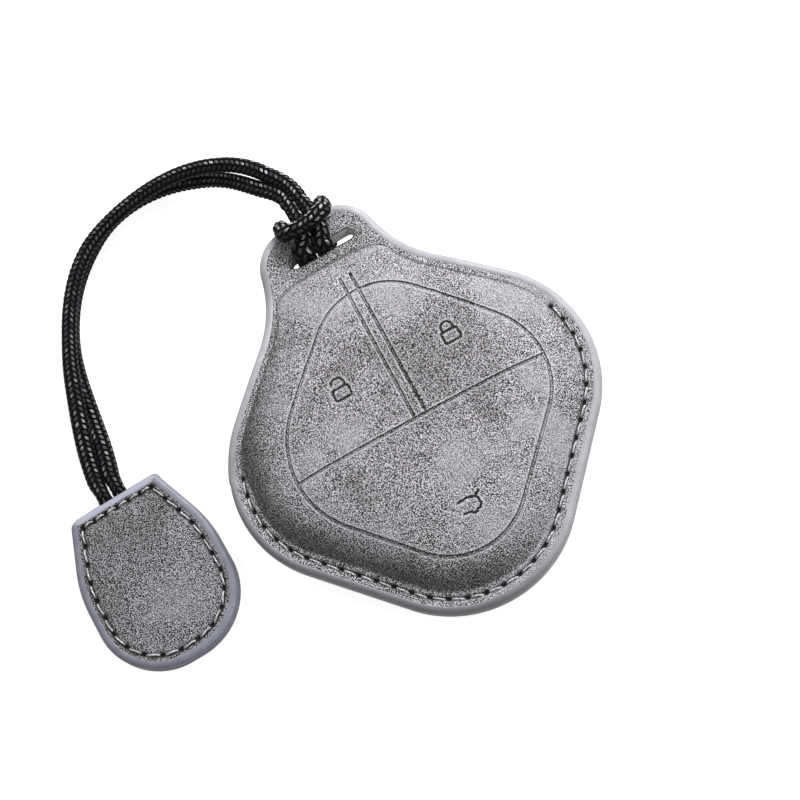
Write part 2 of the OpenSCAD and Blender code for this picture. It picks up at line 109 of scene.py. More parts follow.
# Cord
CORD_D, KNOT_D, SLOT_CORD_T, SLOT_CORD_W = 3.0, 2.6, 2.0, 2.8
HITCH_X, KNOT_GAP = 0.5, 0.15

# Tag
TAG_TOP_HALF_W, TAG_HALF_W, TAG_FLARE_DROP, TAG_FLARE_R = 9.3, 14.2, 13.5, 26.0
TAG_L, TAG_TOP_R, TAG_FOOT_R = 36.0, 1.5, 13.0
TAG_LEATHER_T, TAG_CORE_T, TAIL_L = 1.0, 1.4, 8.0
TAG_T = 2 * TAG_LEATHER_T + TAG_CORE_T
TAG_AT, TAG_TURN = np.array([-58.6, 14.4]), 2.0
TAG_CROWN, TAG_CROWN_W, TAIL_HUMP, TAIL_HUMP_W, TAG_ROWS = 0.45, 7.0, 0.35, 1.3, 520

# Patches of tone: place, radius and how much darker, or paler, they are. Some are the leather's own
# mottling; the darker ones on the left flanks and the paler ones on the right flanks are painted
# shade and painted light
TONE_AND_LIGHT_PATCHES = [
    (7.8, 1.5, 6.5, 0.95), (13, -1, 4.5, 0.3), (-13, 19, 7, 0.5), (-31, -4, 7, 0.4), (-17, -17, 5, 0.4),
    (19.5, 17, 5.5, -0.4), (-1, -7, 5, -0.35), (23, 4, 5, -0.3), (22, -24, 7, -0.4),
]
TAG_TONE_PATCHES = [(4.5, -23.5, 8.5, -0.5)]


# Plain sums

def unit(v):
    return v / np.linalg.norm(v, axis=-1, keepdims=True)


def mix(a, b, k):
    return a + (b - a) * k


def ramp(k):
    """Smooth step from 0 to 1: 3k² - 2k³ between its ends."""
    c = np.clip(k, 0, 1)
    return c * c * (3 - 2 * c)


def bell(distance, width):
    """1 in the middle, and e to the minus square of distance / width beside it."""
    return np.exp(-((distance / width) ** 2))


def cos_sin(degrees):
    return np.cos(np.radians(degrees)), np.sin(np.radians(degrees))


def path_lengths(rows, dims=2):
    """Length along a path up to each of its rows."""
    return np.concatenate([[0], np.cumsum(np.linalg.norm(np.diff(rows[:, :dims], axis=0), axis=1))])


def rows_at(rows, lengths, along=None):
    """Rows of a path at given lengths along it."""
    along = path_lengths(rows) if along is None else along
    return np.stack([np.interp(lengths, along, column) for column in rows.T], axis=1)


def even_rows(rows, count):
    return rows_at(rows, np.linspace(0, path_lengths(rows)[-1], count))


def closed(path):
    return np.vstack([path, path[:1]])


def mirrored(half):
    """A whole outline from its right half, whose first and last rows lie in the middle."""
    return np.vstack([half, half[-2:0:-1] * [-1, 1, -1, 1][:half.shape[1]]])


def drawn_in(rows, inset):
    """Points in from outline rows along their normals."""
    return rows[:, :2] - rows[:, 2:4] * np.reshape(inset, (-1, 1))


def running_mean(padded, reach):
    """Mean of each column's values up to reach rows away, with weights of a raised cosine."""
    kernel = np.hanning(2 * reach + 1)
    kernel /= kernel.sum()
    return np.stack([np.convolve(column, kernel, "valid") for column in padded.T], axis=1)


def arc_rows(corners, radii, steps=48):
    """Rows x, y, outward normal x, y of straight lines joined by tangent arcs.

    The arc of radius r at a corner starts r·tan(turn / 2) before it and turns about the
    centre that lies r inwards of there. On a hollow arc the normal points to the centre."""
    rows = []
    for before, here, after, r in zip(corners, corners[1:], corners[2:], radii):
        u, v = unit(here - before), unit(after - here)
        turn = math.atan2(u[0] * v[1] - u[1] * v[0], u @ v)
        side = math.copysign(1, turn)
        inward = np.array([-u[1], u[0]]) * side
        centre = here - u * r * math.tan(abs(turn) / 2) + inward * r
        a = math.atan2(-inward[1], -inward[0]) + turn * np.linspace(0, 1, steps)
        ray = np.stack([np.cos(a), np.sin(a)], axis=1)
        rows.append(np.hstack([centre + r * ray, ray * side]))
    return np.vstack(rows)


def distance_to(points, path, reach, joined=True):
    """Least distance, up to a reach, from each point to the straight pieces of a path or to its lone points.

    It is the distance to the nearest point of each piece, found at the share of the piece
    where the point stands square over it."""
    best = np.full(len(points), float(reach))
    low, high = path.min(axis=0) - reach, path.max(axis=0) + reach
    near = np.flatnonzero(((points > low) & (points < high)).all(axis=1))
    a, piece = (path[:-1], np.diff(path, axis=0)) if joined else (path, np.zeros_like(path))
    square = np.maximum((piece**2).sum(axis=1), 1e-12)
    for block in np.array_split(near, max(1, len(near) // 3000)):
        offset = points[block][:, None] - a
        share = np.clip((offset * piece).sum(axis=2) / square, 0, 1)
        gap = np.linalg.norm(offset - share[..., None] * piece, axis=2)
        best[block] = np.minimum(best[block], gap.min(axis=1))
    return best


# Meshes

def grid_quads(rings, count):
    """Quads between neighbouring rings of equal counts, closed round each ring."""
    j, k = np.arange(rings - 1)[:, None], np.arange(count)[None]
    a, b = j * count + k, j * count + (k + 1) % count
    return np.stack([a, b, b + count, a + count], axis=2).reshape(-1, 4)


def tube_faces(rings, count, flip=False):
    """Faces of a tube: quads between its rings, and fans that close the first and the last ring.

    Its points are those of the rings in order, then the middle of the first and of the last ring."""
    ring, total = np.arange(count), rings * count
    after = np.roll(ring, -1)
    low = np.stack([np.full(count, total), after, ring], axis=1)
    high = np.stack([np.full(count, total + 1), ring + total - count, after + total - count], axis=1)
    faces = grid_quads(rings, count), np.vstack([low, high])
    return tuple(f[:, ::-1] for f in faces) if flip else faces


def new_piece(name, points, faces, fields=None):
    """A smooth mesh object from points in millimetres, with named float fields on its points."""
    mesh = bpy.data.meshes.new(name)
    sizes = np.concatenate([np.full(len(f), f.shape[1]) for f in faces])
    mesh.vertices.add(len(points))
    mesh.vertices.foreach_set("co", (points * MM).astype(np.float32).ravel())
    loops = np.concatenate([f.ravel() for f in faces]).astype(np.int32)
    mesh.loops.add(len(loops))
    mesh.loops.foreach_set("vertex_index", loops)
    mesh.polygons.add(len(sizes))
    mesh.polygons.foreach_set("loop_start", (np.cumsum(sizes) - sizes).astype(np.int32))
    mesh.update(calc_edges=True)
    mesh.shade_smooth()
    for field, values in (fields or {}).items():
        mesh.attributes.new(field, "FLOAT", "POINT").data.foreach_set("value", values.astype(np.float32))
    piece = bpy.data.objects.new(name, mesh)
    bpy.context.collection.objects.link(piece)
    return piece


def dress(piece, material, slot, body=None, replaces=()):
    """Material, body and replaced solids of a piece; its argument slot is not used."""
    piece.data.materials.append(material)
    if body:
        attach(piece, body)
    if replaces:
        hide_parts(*replaces)


# Materials

def add_node(tree, kind, values=None, **settings):
    """A node with its settings, whose inputs are values or linked sockets."""
    node = tree.nodes.new(kind)
    for key, value in settings.items():
        setattr(node, key, value)
    for key, value in (values or {}).items():
        if isinstance(value, bpy.types.NodeSocket):
            tree.links.new(value, node.inputs[key])
        else:
            node.inputs[key].default_value = value
    return node


class Pattern:
    """A grey pattern on a surface, which adds up with numbers and other patterns."""

    def __init__(self, tree, socket):
        self.tree, self.socket = tree, socket

    def sums(self, operation, other=0.0, clamp=False):
        values = {0: self.socket, 1: getattr(other, "socket", other)}
        node = add_node(self.tree, "ShaderNodeMath", values, operation=operation, use_clamp=clamp)
        return Pattern(self.tree, node.outputs[0])

    def __add__(self, other):
        return self.sums("ADD", other)

    def __sub__(self, other):
        return self.sums("SUBTRACT", other)

    def __mul__(self, other):
        return self.sums("MULTIPLY", other)

    def spread(self, low, high, to_low=0.0, to_high=1.0):
        """The pattern from low to high, spread over another range and held at its ends."""
        names = "Value", "From Min", "From Max", "To Min", "To Max"
        values = dict(zip(names, (self.socket, low, high, to_low, to_high)))
        node = add_node(self.tree, "ShaderNodeMapRange", values, clamp=True)
        return Pattern(self.tree, node.outputs["Result"])


class Finish:
    """A principled material, with patterns in the object's own coordinates or from the mesh's fields."""

    def __init__(self, name, **surface):
        self.material = bpy.data.materials.new(name)
        self.material.use_nodes = True
        self.tree = self.material.node_tree
        self.shader = self.tree.nodes["Principled BSDF"]
        self.bumps = None
        for key, value in surface.items():
            self.shader.inputs[key.replace("_", " ")].default_value = value

    def pattern(self, kind, output, values=None, **settings):
        return Pattern(self.tree, add_node(self.tree, kind, values, **settings).outputs[output])

    def place(self):
        return self.pattern("ShaderNodeTexCoord", "Object").socket

    def field(self, name):
        return self.pattern("ShaderNodeAttribute", "Fac", attribute_name=name)

    def cloud(self, size_mm, detail=2.0, roughness=0.5, distortion=0.0, **mapping):
        """Soft noise whose spots are about size_mm wide."""
        place = self.place()
        if mapping:
            place = self.pattern("ShaderNodeMapping", 0, {"Vector": place, **mapping}).socket
        return self.pattern("ShaderNodeTexNoise", "Fac", {
            "Vector": place, "Scale": 1 / (size_mm * MM), "Detail": detail,
            "Roughness": roughness, "Distortion": distortion,
        })

    def layers(self, colour, *coats):
        """The base colour: a first colour, and coats of how much each covers and its own colour."""
        for cover, coat in coats:
            node = add_node(self.tree, "ShaderNodeMix", data_type="RGBA")
            for key, value in (("Factor", cover.socket), ("A", colour), ("B", coat)):
                socket = next(s for s in node.inputs if s.name == key and s.enabled)
                if isinstance(value, tuple):
                    socket.default_value = (*value, 1)
                else:
                    self.tree.links.new(value, socket)
            colour = next(s for s in node.outputs if s.enabled)
        self.tree.links.new(colour, self.shader.inputs["Base Color"])

    def relief(self, height, distance_mm, strength):
        """Bumps, on top of those that it has."""
        values = {"Height": height.socket, "Distance": distance_mm * MM, "Strength": strength}
        if self.bumps:
            values["Normal"] = self.bumps
        self.bumps = add_node(self.tree, "ShaderNodeBump", values).outputs["Normal"]
        self.tree.links.new(self.bumps, self.shader.inputs["Normal"])


def times(k, colour):
    return tuple(k * c for c in colour)


def slot_rim(finish):
    """Nearness to the slot's edge, where a thin line of painted shade is drawn, from the distance to the
    straight middle of the slot less its radius.
    """
    at = add_node(finish.tree, "ShaderNodeSeparateXYZ", {0: finish.place()}).outputs
    x, y = (Pattern(finish.tree, at[k]) for k in (0, 1))
    x = (x - SLOT_X * MM).sums("ABSOLUTE") - (SLOT_L / 2 - SLOT_R) * MM
    x, y = x.sums("MAXIMUM"), y - (SLOT_TOP - SLOT_R) * MM
    return (x * x + y * y).sums("SQRT").spread((SLOT_R + 0.32) * MM, (SLOT_R + 0.1) * MM)


def nubuck(name, dark, light, speck, rubbed, clouds=(0.36, 0.62), slot=False):
    """Nubuck: clouded tone, a crisp grain of dark pores between pale rubbed naps, pressed lines with dark
    walls.

    The mesh gives, as fields, where the leather is pressed, creased, shaded, pierced and flank-shaded. The
    flank shading, the crease, the holes and the slot's rim are painted shade, the pale band beside a pressed
    line is a painted highlight, and the pressed lines' dark walls are partly the burn of the hot press and
    partly painted shade."""
    finish = Finish(name, Roughness=0.8, Sheen_Weight=0.1, Sheen_Roughness=0.5, Specular_IOR_Level=0.18)
    flank_shading, shade, press, crease, hole = map(finish.field, ("flank_shading", "shade", "press", "crease", "hole"))
    patch = finish.cloud(4.5, 0.7, 0.4, 0.4)
    tone = (finish.cloud(13, 1.3, 0.45) * 0.78 + patch * 0.22).spread(*clouds)
    # The flank shading field paints shade on the flank, and paints light where it is negative
    tone = (tone - flank_shading * 0.6).sums("SUBTRACT", shade, clamp=True)
    # Turned, so that no layer of the noise lies level with the surface and shows as a blotch
    grain = finish.cloud(0.203, 0, 0.5, Rotation=(0.6, 0.7, 0.35))
    pore = grain.spread(0.512, 0.445) * tone.spread(0.55, 1.0, 1.0, 0.55)
    nap = grain.spread(0.518, 0.582) * tone.spread(0.55, 1.0, 1.1 * rubbed, 0.6 * rubbed)
    nap = nap * tone.spread(0.0, 0.3, 0.75, 1.0) * flank_shading.spread(0.0, 1.1, 1.0, 0.32)
    # Dark walls of the pressed lines: partly the burn of the hot press, partly painted shade in the groove
    wall = press.spread(0.04, 0.3) * press.spread(1.0, 0.86, 0.1)
    painted_shade_black = (0.008, 0.0075, 0.008)
    # Painted light and shade: the flank shading, the pale band beside the pressed lines (a painted highlight),
    # and the dark walls, crease, slot rim and holes (painted shade)
    finish.layers(
        dark, (tone, light), (flank_shading * 0.68, (0.045, 0.042, 0.044)), (pore, speck),
        (nap, (0.86, 0.835, 0.88)), (press.spread(0.0, -1.0, 0.0, 0.5), (0.8, 0.79, 0.82)),
        (wall * 0.97, (0.008, 0.0075, 0.009)), (crease * 0.95, painted_shade_black),
        *([(slot_rim(finish), painted_shade_black)] if slot else []), (hole, (0.004, 0.004, 0.004)),
    )
    finish.relief(patch, 0.25, 0.35)
    finish.relief(grain, 0.3, 0.8)
    return finish.material


def suede(name, dark, light):
    """Short-napped suede: fine dense fibres brushed into faint patches."""
    finish = Finish(name, Roughness=0.95, Sheen_Weight=0.35, Sheen_Roughness=0.4)
    fibre = finish.cloud(0.22, 3, 0.7)
    tone = finish.cloud(5).spread(0.35, 0.65)
    finish.layers(dark, (tone, light), (fibre.spread(0.35, 0.65, 0.0, 0.5), times(0.4, dark)))
    finish.relief(fibre, 0.12, 0.6)
    return finish.material


def edge_paint(name, colour, shade):
    """Rubbery edge paint: smooth and matte, with faint clouds and brush ripples.

    The field outer darkens it with painted shade, and makes it paler with a painted highlight where it is
    negative."""
    finish = Finish(name, Roughness=0.46, Specular_IOR_Level=0.4, Coat_Weight=0.08)
    ripple, dust, outer = finish.cloud(2.2), finish.cloud(0.35, 2, 0.6), finish.field("outer")
    # Painted shade from the field outer, and a painted highlight where it is negative
    finish.layers(
        colour, (ripple.spread(0.3, 0.7, 0.0, 0.55), shade),
        (dust.spread(0.56, 0.72, 0.0, 0.3), times(0.7, shade)),
        (outer * 0.7, times(0.3, shade)), (outer.spread(0.0, -1.0), times(2.2, colour)),
    )
    finish.relief(ripple, 0.18, 0.3)
    return finish.material


def waxed_braid(name):
    """Waxed black yarn: gaps painted near black as painted shade, dark fibre on the plaits' crowns,
    and painted glints on the crowns of the yarns that face half-way between the key lamp and the camera.
    """
    finish = Finish(name, Specular_IOR_Level=0.15)
    crown = finish.field("crown")
    # Painted highlight: pale glints on the yarns' crowns, as strong as the leaf field
    glint = finish.field("leaf") * crown.spread(0.7, 0.98, 0.0, 1.6)
    glint = glint * finish.cloud(0.8, 3, 0.6).spread(0.36, 0.56, 0.25, 1.0)
    # Painted shade: the gaps between the yarns are near black, the crowns dark grey fibre
    fibre = crown.spread(0.45, 0.98)
    finish.layers((0.0004, 0.0004, 0.0005), (fibre, (0.02, 0.021, 0.03)), (glint, (0.86, 0.85, 0.9)))
    finish.tree.links.new(crown.spread(0.45, 0.9, 0.95, 0.22).socket, finish.shader.inputs["Roughness"])
    finish.relief((finish.field("lay") * (2 * math.pi * 6)).sums("SINE"), 0.04, 0.6)
    finish.relief(finish.cloud(0.35), 0.07, 0.6)
    return finish.material


def sewing_thread(name):
    """Two-ply thread: pale plies with painted shade in the lines between them, and a slight gloss."""
    finish = Finish(name, Roughness=0.4, Specular_IOR_Level=0.6)
    fluff = finish.cloud(0.5, 3, 0.6)
    groove = finish.field("twist").spread(0.42, 0.1)
    finish.layers(
        (0.3, 0.3, 0.31), (fluff.spread(0.35, 0.6), (0.85, 0.84, 0.87)), (groove, (0.015, 0.015, 0.016))
    )
    finish.relief(fluff, 0.05, 0.5)
    return finish.material


def leatherboard(name):
    """Pressed fibre board: brown-grey fibres in all directions."""
    finish = Finish(name, Roughness=0.9)
    fibre = finish.cloud(0.8, 4, 0.7, Scale=(1, 3, 1))
    finish.layers((0.07, 0.065, 0.06), (fibre, (0.24, 0.225, 0.21)))
    finish.relief(fibre, 0.1, 0.5)
    return finish.material


NUBUCK = nubuck(
    "grey_nubuck", (0.175, 0.166, 0.172), (0.485, 0.468, 0.505), (0.022, 0.019, 0.018), 0.68, slot=True
)
TAG_NUBUCK = nubuck(
    "tag_nubuck", (0.12, 0.116, 0.12), (0.36, 0.352, 0.4), (0.012, 0.011, 0.01), 0.4, clouds=(0.24, 0.78)
)
SUEDE = suede("lining_suede", (0.19, 0.185, 0.19), (0.3, 0.295, 0.305))
COVER_PAINT = edge_paint("cover_edge_paint", (0.46, 0.455, 0.487), (0.34, 0.335, 0.36))
TAG_PAINT = edge_paint("tag_edge_paint", (0.26, 0.266, 0.32), (0.16, 0.165, 0.203))
# Painted light: the slot's cut wall is coloured paler than cut leather, for the light it misses facing away
# from the key lamp
RAW_EDGE = suede("raw_cut_edge", (0.55, 0.54, 0.56), (0.8, 0.79, 0.82))
WAXED_BRAID = waxed_braid("waxed_black_braid")
THREAD = sewing_thread("grey_sewing_thread")
LEATHERBOARD = leatherboard("tag_leatherboard")


# Camera at the photograph's angle: tilted from straight above towards the tip, and rolled

CAMERA_TILT, CAMERA_SWING, CAMERA_ROLL = (math.radians(a) for a in (20, 1.2, 29.2))
CAMERA_TARGET, CAMERA_DISTANCE = Vector((-0.14, 0.9, 8.5)) * MM, 361 * MM
CAMERA_LENS, CAMERA_SENSOR_W = 85.5, 36


def place_object(name, data):
    thing = bpy.data.objects.new(name, data)
    bpy.context.collection.objects.link(thing)
    return thing


def make_camera():
    data = bpy.data.cameras.new("camera")
    data.lens, data.sensor_width = CAMERA_LENS, CAMERA_SENSOR_W
    data.clip_start, data.clip_end = 0.01, 10
    camera = place_object("camera", data)
    sin_tilt = math.sin(CAMERA_TILT)
    back = Vector((
        math.sin(CAMERA_SWING) * sin_tilt, -math.cos(CAMERA_SWING) * sin_tilt, math.cos(CAMERA_TILT)
    ))
    level = Vector((0, 1, 0))
    up = (level - back * back.dot(level)).normalized()
    up = up * math.cos(CAMERA_ROLL) + up.cross(back) * math.sin(CAMERA_ROLL)
    turn = Matrix((up.cross(back), up, back)).transposed().to_4x4()
    camera.matrix_world = Matrix.Translation(CAMERA_TARGET + back * CAMERA_DISTANCE) @ turn
    bpy.context.scene.camera = camera


make_camera()


# The cord: one braid from the tag, up to the hitch round the tab's bar, and back down to the tag

KNOT_R, BRAID_R = KNOT_D / 2, CORD_D / 2
STRAND_OFF, SLOT_STRAND_OFF, LEG_OFF = 1.55, 2.4, 4.7
SLOT_BEND, EDGE_BEND = SLOT_CORD_T / 2 + 0.15, KNOT_R + KNOT_GAP
FRONT_Z = RIM_T + EDGE_BEND
CROSS_STEP, CROSS_IN = KNOT_D + KNOT_GAP, 2.4
EXIT_OUT, EXIT_Z, EXIT_FALL_SHARE, BEND_L = 3.8, FRONT_Z - 0.45, 0.2, 3.4
EXIT_Y = EDGE_Y + EXIT_OUT
LEAN_X_SHARE = 0.05
FRONT_SHARES, BACK_SHARES = (0, 0.15, 0.4, 0.65, 0.88), (0.4, 0.8)
TAIL_OFF, TAIL_HALF_W, TAIL_GAP, TAIL_ROUND, LOWER_BEND_L = 1.6, 1.55, 0.05, 1.6, 3.2

# The free strands' routes, in metres, as the solids follow them
OUTER_ROUTE = [
    (0.0018, 0.052, 0.0105), (0.0004, 0.054, 0.0103), (-0.003, 0.059, 0.0097), (-0.0081, 0.0632, 0.009),
    (-0.0139, 0.0662, 0.0079), (-0.0203, 0.0679, 0.0065), (-0.0271, 0.0682, 0.0052), (-0.0339, 0.067, 0.0046),
    (-0.0401, 0.0644, 0.0046), (-0.0451, 0.0601, 0.0046), (-0.0491, 0.0545, 0.0046), (-0.0522, 0.0482, 0.0046),
    (-0.0547, 0.0418, 0.0046), (-0.0565, 0.0356, 0.0043), (-0.0579, 0.031, 0.0036), (-0.0591, 0.027, 0.0026),
    (-0.0599, 0.0234, 0.0019),
]
INNER_ROUTE = [
    (-0.0015, 0.0514, 0.0101), (-0.0027, 0.0529, 0.0095), (-0.0057, 0.0576, 0.0076), (-0.0101, 0.0624, 0.0054),
    (-0.0157, 0.0662, 0.0036), (-0.0221, 0.0689, 0.0022), (-0.0289, 0.0696, 0.0015), (-0.0355, 0.068, 0.0015),
    (-0.0415, 0.0641, 0.0015), (-0.0465, 0.0592, 0.0015), (-0.0504, 0.0532, 0.0015), (-0.0529, 0.0472, 0.0015),
    (-0.0543, 0.0414, 0.0015), (-0.055, 0.0364, 0.0015), (-0.0555, 0.0318, 0.0015), (-0.0559, 0.0274, 0.0015),
    (-0.0564, 0.0234, 0.0016),
]
# Number of the route point at which each strand is cut into its upper and its lower piece
CUT_POINT = 8


def hitch_half():
    """Right half of the girth hitch: over the bar, through the slot, behind, round the tab's edge, across."""
    rows = [
        (mix(STRAND_OFF, SLOT_STRAND_OFF, s), mix(EXIT_Y, SLOT_TOP, s),
         mix(EXIT_Z, FRONT_Z, ramp(s / FRONT_SHARES[2])), KNOT_R, KNOT_R)
        for s in FRONT_SHARES
    ]
    turn = [
        (SLOT_STRAND_OFF, SLOT_TOP - SLOT_BEND * s, RIM_T + SLOT_BEND * c, SLOT_CORD_W / 2, SLOT_CORD_T / 2)
        for c, s in map(cos_sin, (0, 45, 90))
    ]
    rows += turn + [(x, y, -z, w, t) for x, y, z, w, t in reversed(turn)]
    rows += [
        (mix(SLOT_STRAND_OFF, LEG_OFF, s), mix(SLOT_TOP, EDGE_Y, s), -FRONT_Z, KNOT_R, KNOT_R)
        for s in BACK_SHARES
    ]
    rows += [
        (LEG_OFF, EDGE_Y - EDGE_W + (EDGE_W + EDGE_BEND) * s, -FRONT_Z * c, KNOT_R, KNOT_R)
        for c, s in map(cos_sin, range(30, 151, 30))
    ]
    crossed_x = mix(STRAND_OFF, SLOT_STRAND_OFF, FRONT_SHARES[2])
    for a in range(20, 96, 25):
        c, s = cos_sin(a)
        rows.append((
            crossed_x + CROSS_STEP * c, EDGE_Y - CROSS_IN * a / 100, FRONT_Z + CROSS_STEP * s, KNOT_R, KNOT_R
        ))
    rows.append((0, EDGE_Y - CROSS_IN, FRONT_Z + CROSS_STEP, KNOT_R, KNOT_R))
    return np.array(rows, float)


def hitch_side(half, side):
    """One side of the hitch: mirrored, leaned a little sideways and set on the parting plane."""
    rows = half.copy()
    rows[:, 0] = HITCH_X + side * half[:, 0] + LEAN_X_SHARE * (half[:, 1] - EDGE_Y)
    rows[:, 2] += PARTING_Z
    return rows


def tag_point(x, y):
    """A point of the tag's own plane, in the cover's frame."""
    c, s = cos_sin(TAG_TURN)
    return np.stack([TAG_AT[0] + x * c - y * s, TAG_AT[1] + x * s + y * c], axis=-1)


def strand_rows(side, route, tail_x):
    """One free strand: the bend at the knot, the chosen route, the bend at the tag and the flat sewn end."""
    x = HITCH_X + side * STRAND_OFF + LEAN_X_SHARE * EXIT_OUT
    rows = [
        (x, EXIT_Y + d, PARTING_Z + EXIT_Z - EXIT_FALL_SHARE * d, BRAID_R, BRAID_R)
        for d in (BEND_L / 2, BEND_L)
    ]
    rows += [(px / MM, py / MM, pz / MM, BRAID_R, BRAID_R) for px, py, pz in route]
    rows += [
        (*tag_point(tail_x, TAIL_ROUND + d), TAG_T / 2, BRAID_R, BRAID_R)
        for d in (LOWER_BEND_L, LOWER_BEND_L / 2, 0)
    ]
    tail = TAG_T / 2, TAIL_HALF_W, TAG_CORE_T / 2 - TAIL_GAP
    rows += [(*tag_point(tail_x, y), *tail) for y in (TAIL_GAP, -TAIL_L)]
    return np.array(rows, float)


def smooth_rows(rows, fine=24):
    """Curve through all rows: on each stretch a cubic whose end slopes are the chords of the neighbours,
    weighted by the stretches' lengths, so that short and long stretches meet without a kick."""
    gap = np.sqrt(np.linalg.norm(np.diff(rows[:, :3], axis=0), axis=1))[:, None]
    chord = np.diff(rows, axis=0) / gap
    middle = (chord[:-1] * gap[1:] + chord[1:] * gap[:-1]) / (gap[:-1] + gap[1:])
    slope = np.vstack([chord[:1], middle, chord[-1:]])
    k = np.linspace(0, 1, fine, endpoint=False)[None, :, None]
    a, b = rows[:-1, None], rows[1:, None]
    ta, tb = (slope[:-1] * gap)[:, None], (slope[1:] * gap)[:, None]
    curve = (
        (2 * k**3 - 3 * k**2 + 1) * a + (k**3 - 2 * k**2 + k) * ta
        + (3 * k**2 - 2 * k**3) * b + (k**3 - k**2) * tb
    )
    return np.vstack([curve.reshape(-1, rows.shape[1]), rows[-1:]])


def carried_sides(tangents, first):
    """A side vector carried along the tangents without twist, one step to the next."""
    sides, side = np.empty_like(tangents), np.array(first, float)
    for k, t in enumerate(tangents):
        side = side - t * (side @ t)
        side /= np.linalg.norm(side)
        sides[k] = side
    return sides


# The braid: plaits side by side round the cord, whose yarns slant by turns to either hand
PLAITS, YARN_PITCH, YARN_SLANT = 8, 1.18, 0.62
YARN_RISE, PLY_RISE = 0.3, 0.04
# The way half-way between the key lamp and the camera: the yarns that face it get painted glints
GLINT_WAY = np.array([0.34, 0.16, 0.93])
RING_STEP, RING_COUNT, PATH_STEP = 0.1, 64, 4
# Sideways places and radii of each side of the drawn knot, from its exit over the bar and through the
# slot: both sides come out under the crossing, and the left one swings out to the left
INNER_KNOT = np.array([[-0.9, -0.9, -0.85, -0.8, -1.6] + 6 * [-2.75], [1.5, 1.55, 1.6, 1.62, 1.95] + 6 * [2.1]])
OUTER_KNOT = np.array([[1.55, 1.8, 2.1, 2.35, 2.05] + 6 * [1.45], [1.5, 1.55, 1.6, 1.62, 1.85] + 6 * [2.0]])
# Half the drawn knot's thickness over the bar, in the slot, and behind the tab and across
BAR_R, IN_SLOT_R, ACROSS_R = 1.35, 1.12, 1.7
CROSS_DROP = 0.8
LEFT_DROP = np.array([0.1, 0.3, 0.5, 0.7, 0.8, 1.0, 0.9, 0.6, 0.3])
# Half the length over which the free strands' bends are evened out, and their shifts at the knot
EASE_L = 5.0
LEAN_SHIFT, PINCH_SHIFT = np.array([-0.6, -0.1]), np.array([0.65, 0.1, -0.5])
# By how much the drawn strands are fuller than their solids, and wider still towards the tag
FULLER, TAG_WIDER = 0.1, 0.28


def braid_rise(angle, along):
    """Share of full height of the braid's surface without and with plies, the yarn coordinate, and each
    leaf's chance number, which is the broken part of a large sine of its yarn and plait.

    Round the cord, plait k spans 1/PLAITS of a turn. In it a yarn's number is the length along
    the cord in pitches, sheared by the slant, to the right in even plaits and to the left in odd
    ones, which also start half a pitch later. A yarn is a dome across its width, with two plies,
    and dips at the plait's edges, where its neighbours lie over it."""
    turn = angle / (2 * math.pi) * PLAITS
    plait = np.floor(turn)
    x = turn - plait - 0.5
    odd = np.mod(plait, 2)
    lay = along / YARN_PITCH + (1 - 2 * odd) * YARN_SLANT * x + 0.5 * odd
    across = 2 * (lay - np.floor(lay)) - 1
    dome = np.sqrt(np.clip(1 - np.abs(1.04 * across) ** 2.1 - np.abs(2 * x) ** 2.3, 0, 1))
    ply = np.abs(np.sin(math.pi * (across + 1)))
    leaf = np.mod(np.sin(np.floor(lay) * 12.99 + plait * 78.23) * 43758.5, 1)
    return dome, dome * ply, lay, 0.06 + 1.14 * ramp(leaf) ** 1.5


def rising(value, start, over):
    """From 0 where a value reaches start to 1 where it has grown on by over."""
    return ramp((value - start) / over)


def fading(value, end, over):
    """From 1 down to 0 over the last stretch before a value reaches its end."""
    return ramp((end - value) / over)


def drawn_knot(rows, half, first, last):
    """Sets the knot's rows as they are drawn: fuller than the solid, swelling towards the slot, and round
    over the tab's edge and across."""
    knot = np.arange(len(half))
    bar = len(FRONT_SHARES)
    slot = bar + 6
    thin = np.where(knot < bar, BAR_R, np.where(knot < slot, IN_SLOT_R, ACROSS_R))
    thin[0] = BRAID_R
    for number, (offsets, radii) in ((first + knot, INNER_KNOT), (last - knot, OUTER_KNOT)):
        rows[number, 3], rows[number, 4] = np.append(radii, np.full(len(half) - slot, ACROSS_R)), thin
        rows[number[:slot], 0] = HITCH_X + LEAN_X_SHARE * (rows[number[:slot], 1] - EDGE_Y) + offsets
        rows[number[-5:-1], 1] -= CROSS_DROP
    rows[first + knot[-10:-1], 1] -= CROSS_DROP * LEFT_DROP
    rows[first + knot[-1], 1] -= CROSS_DROP


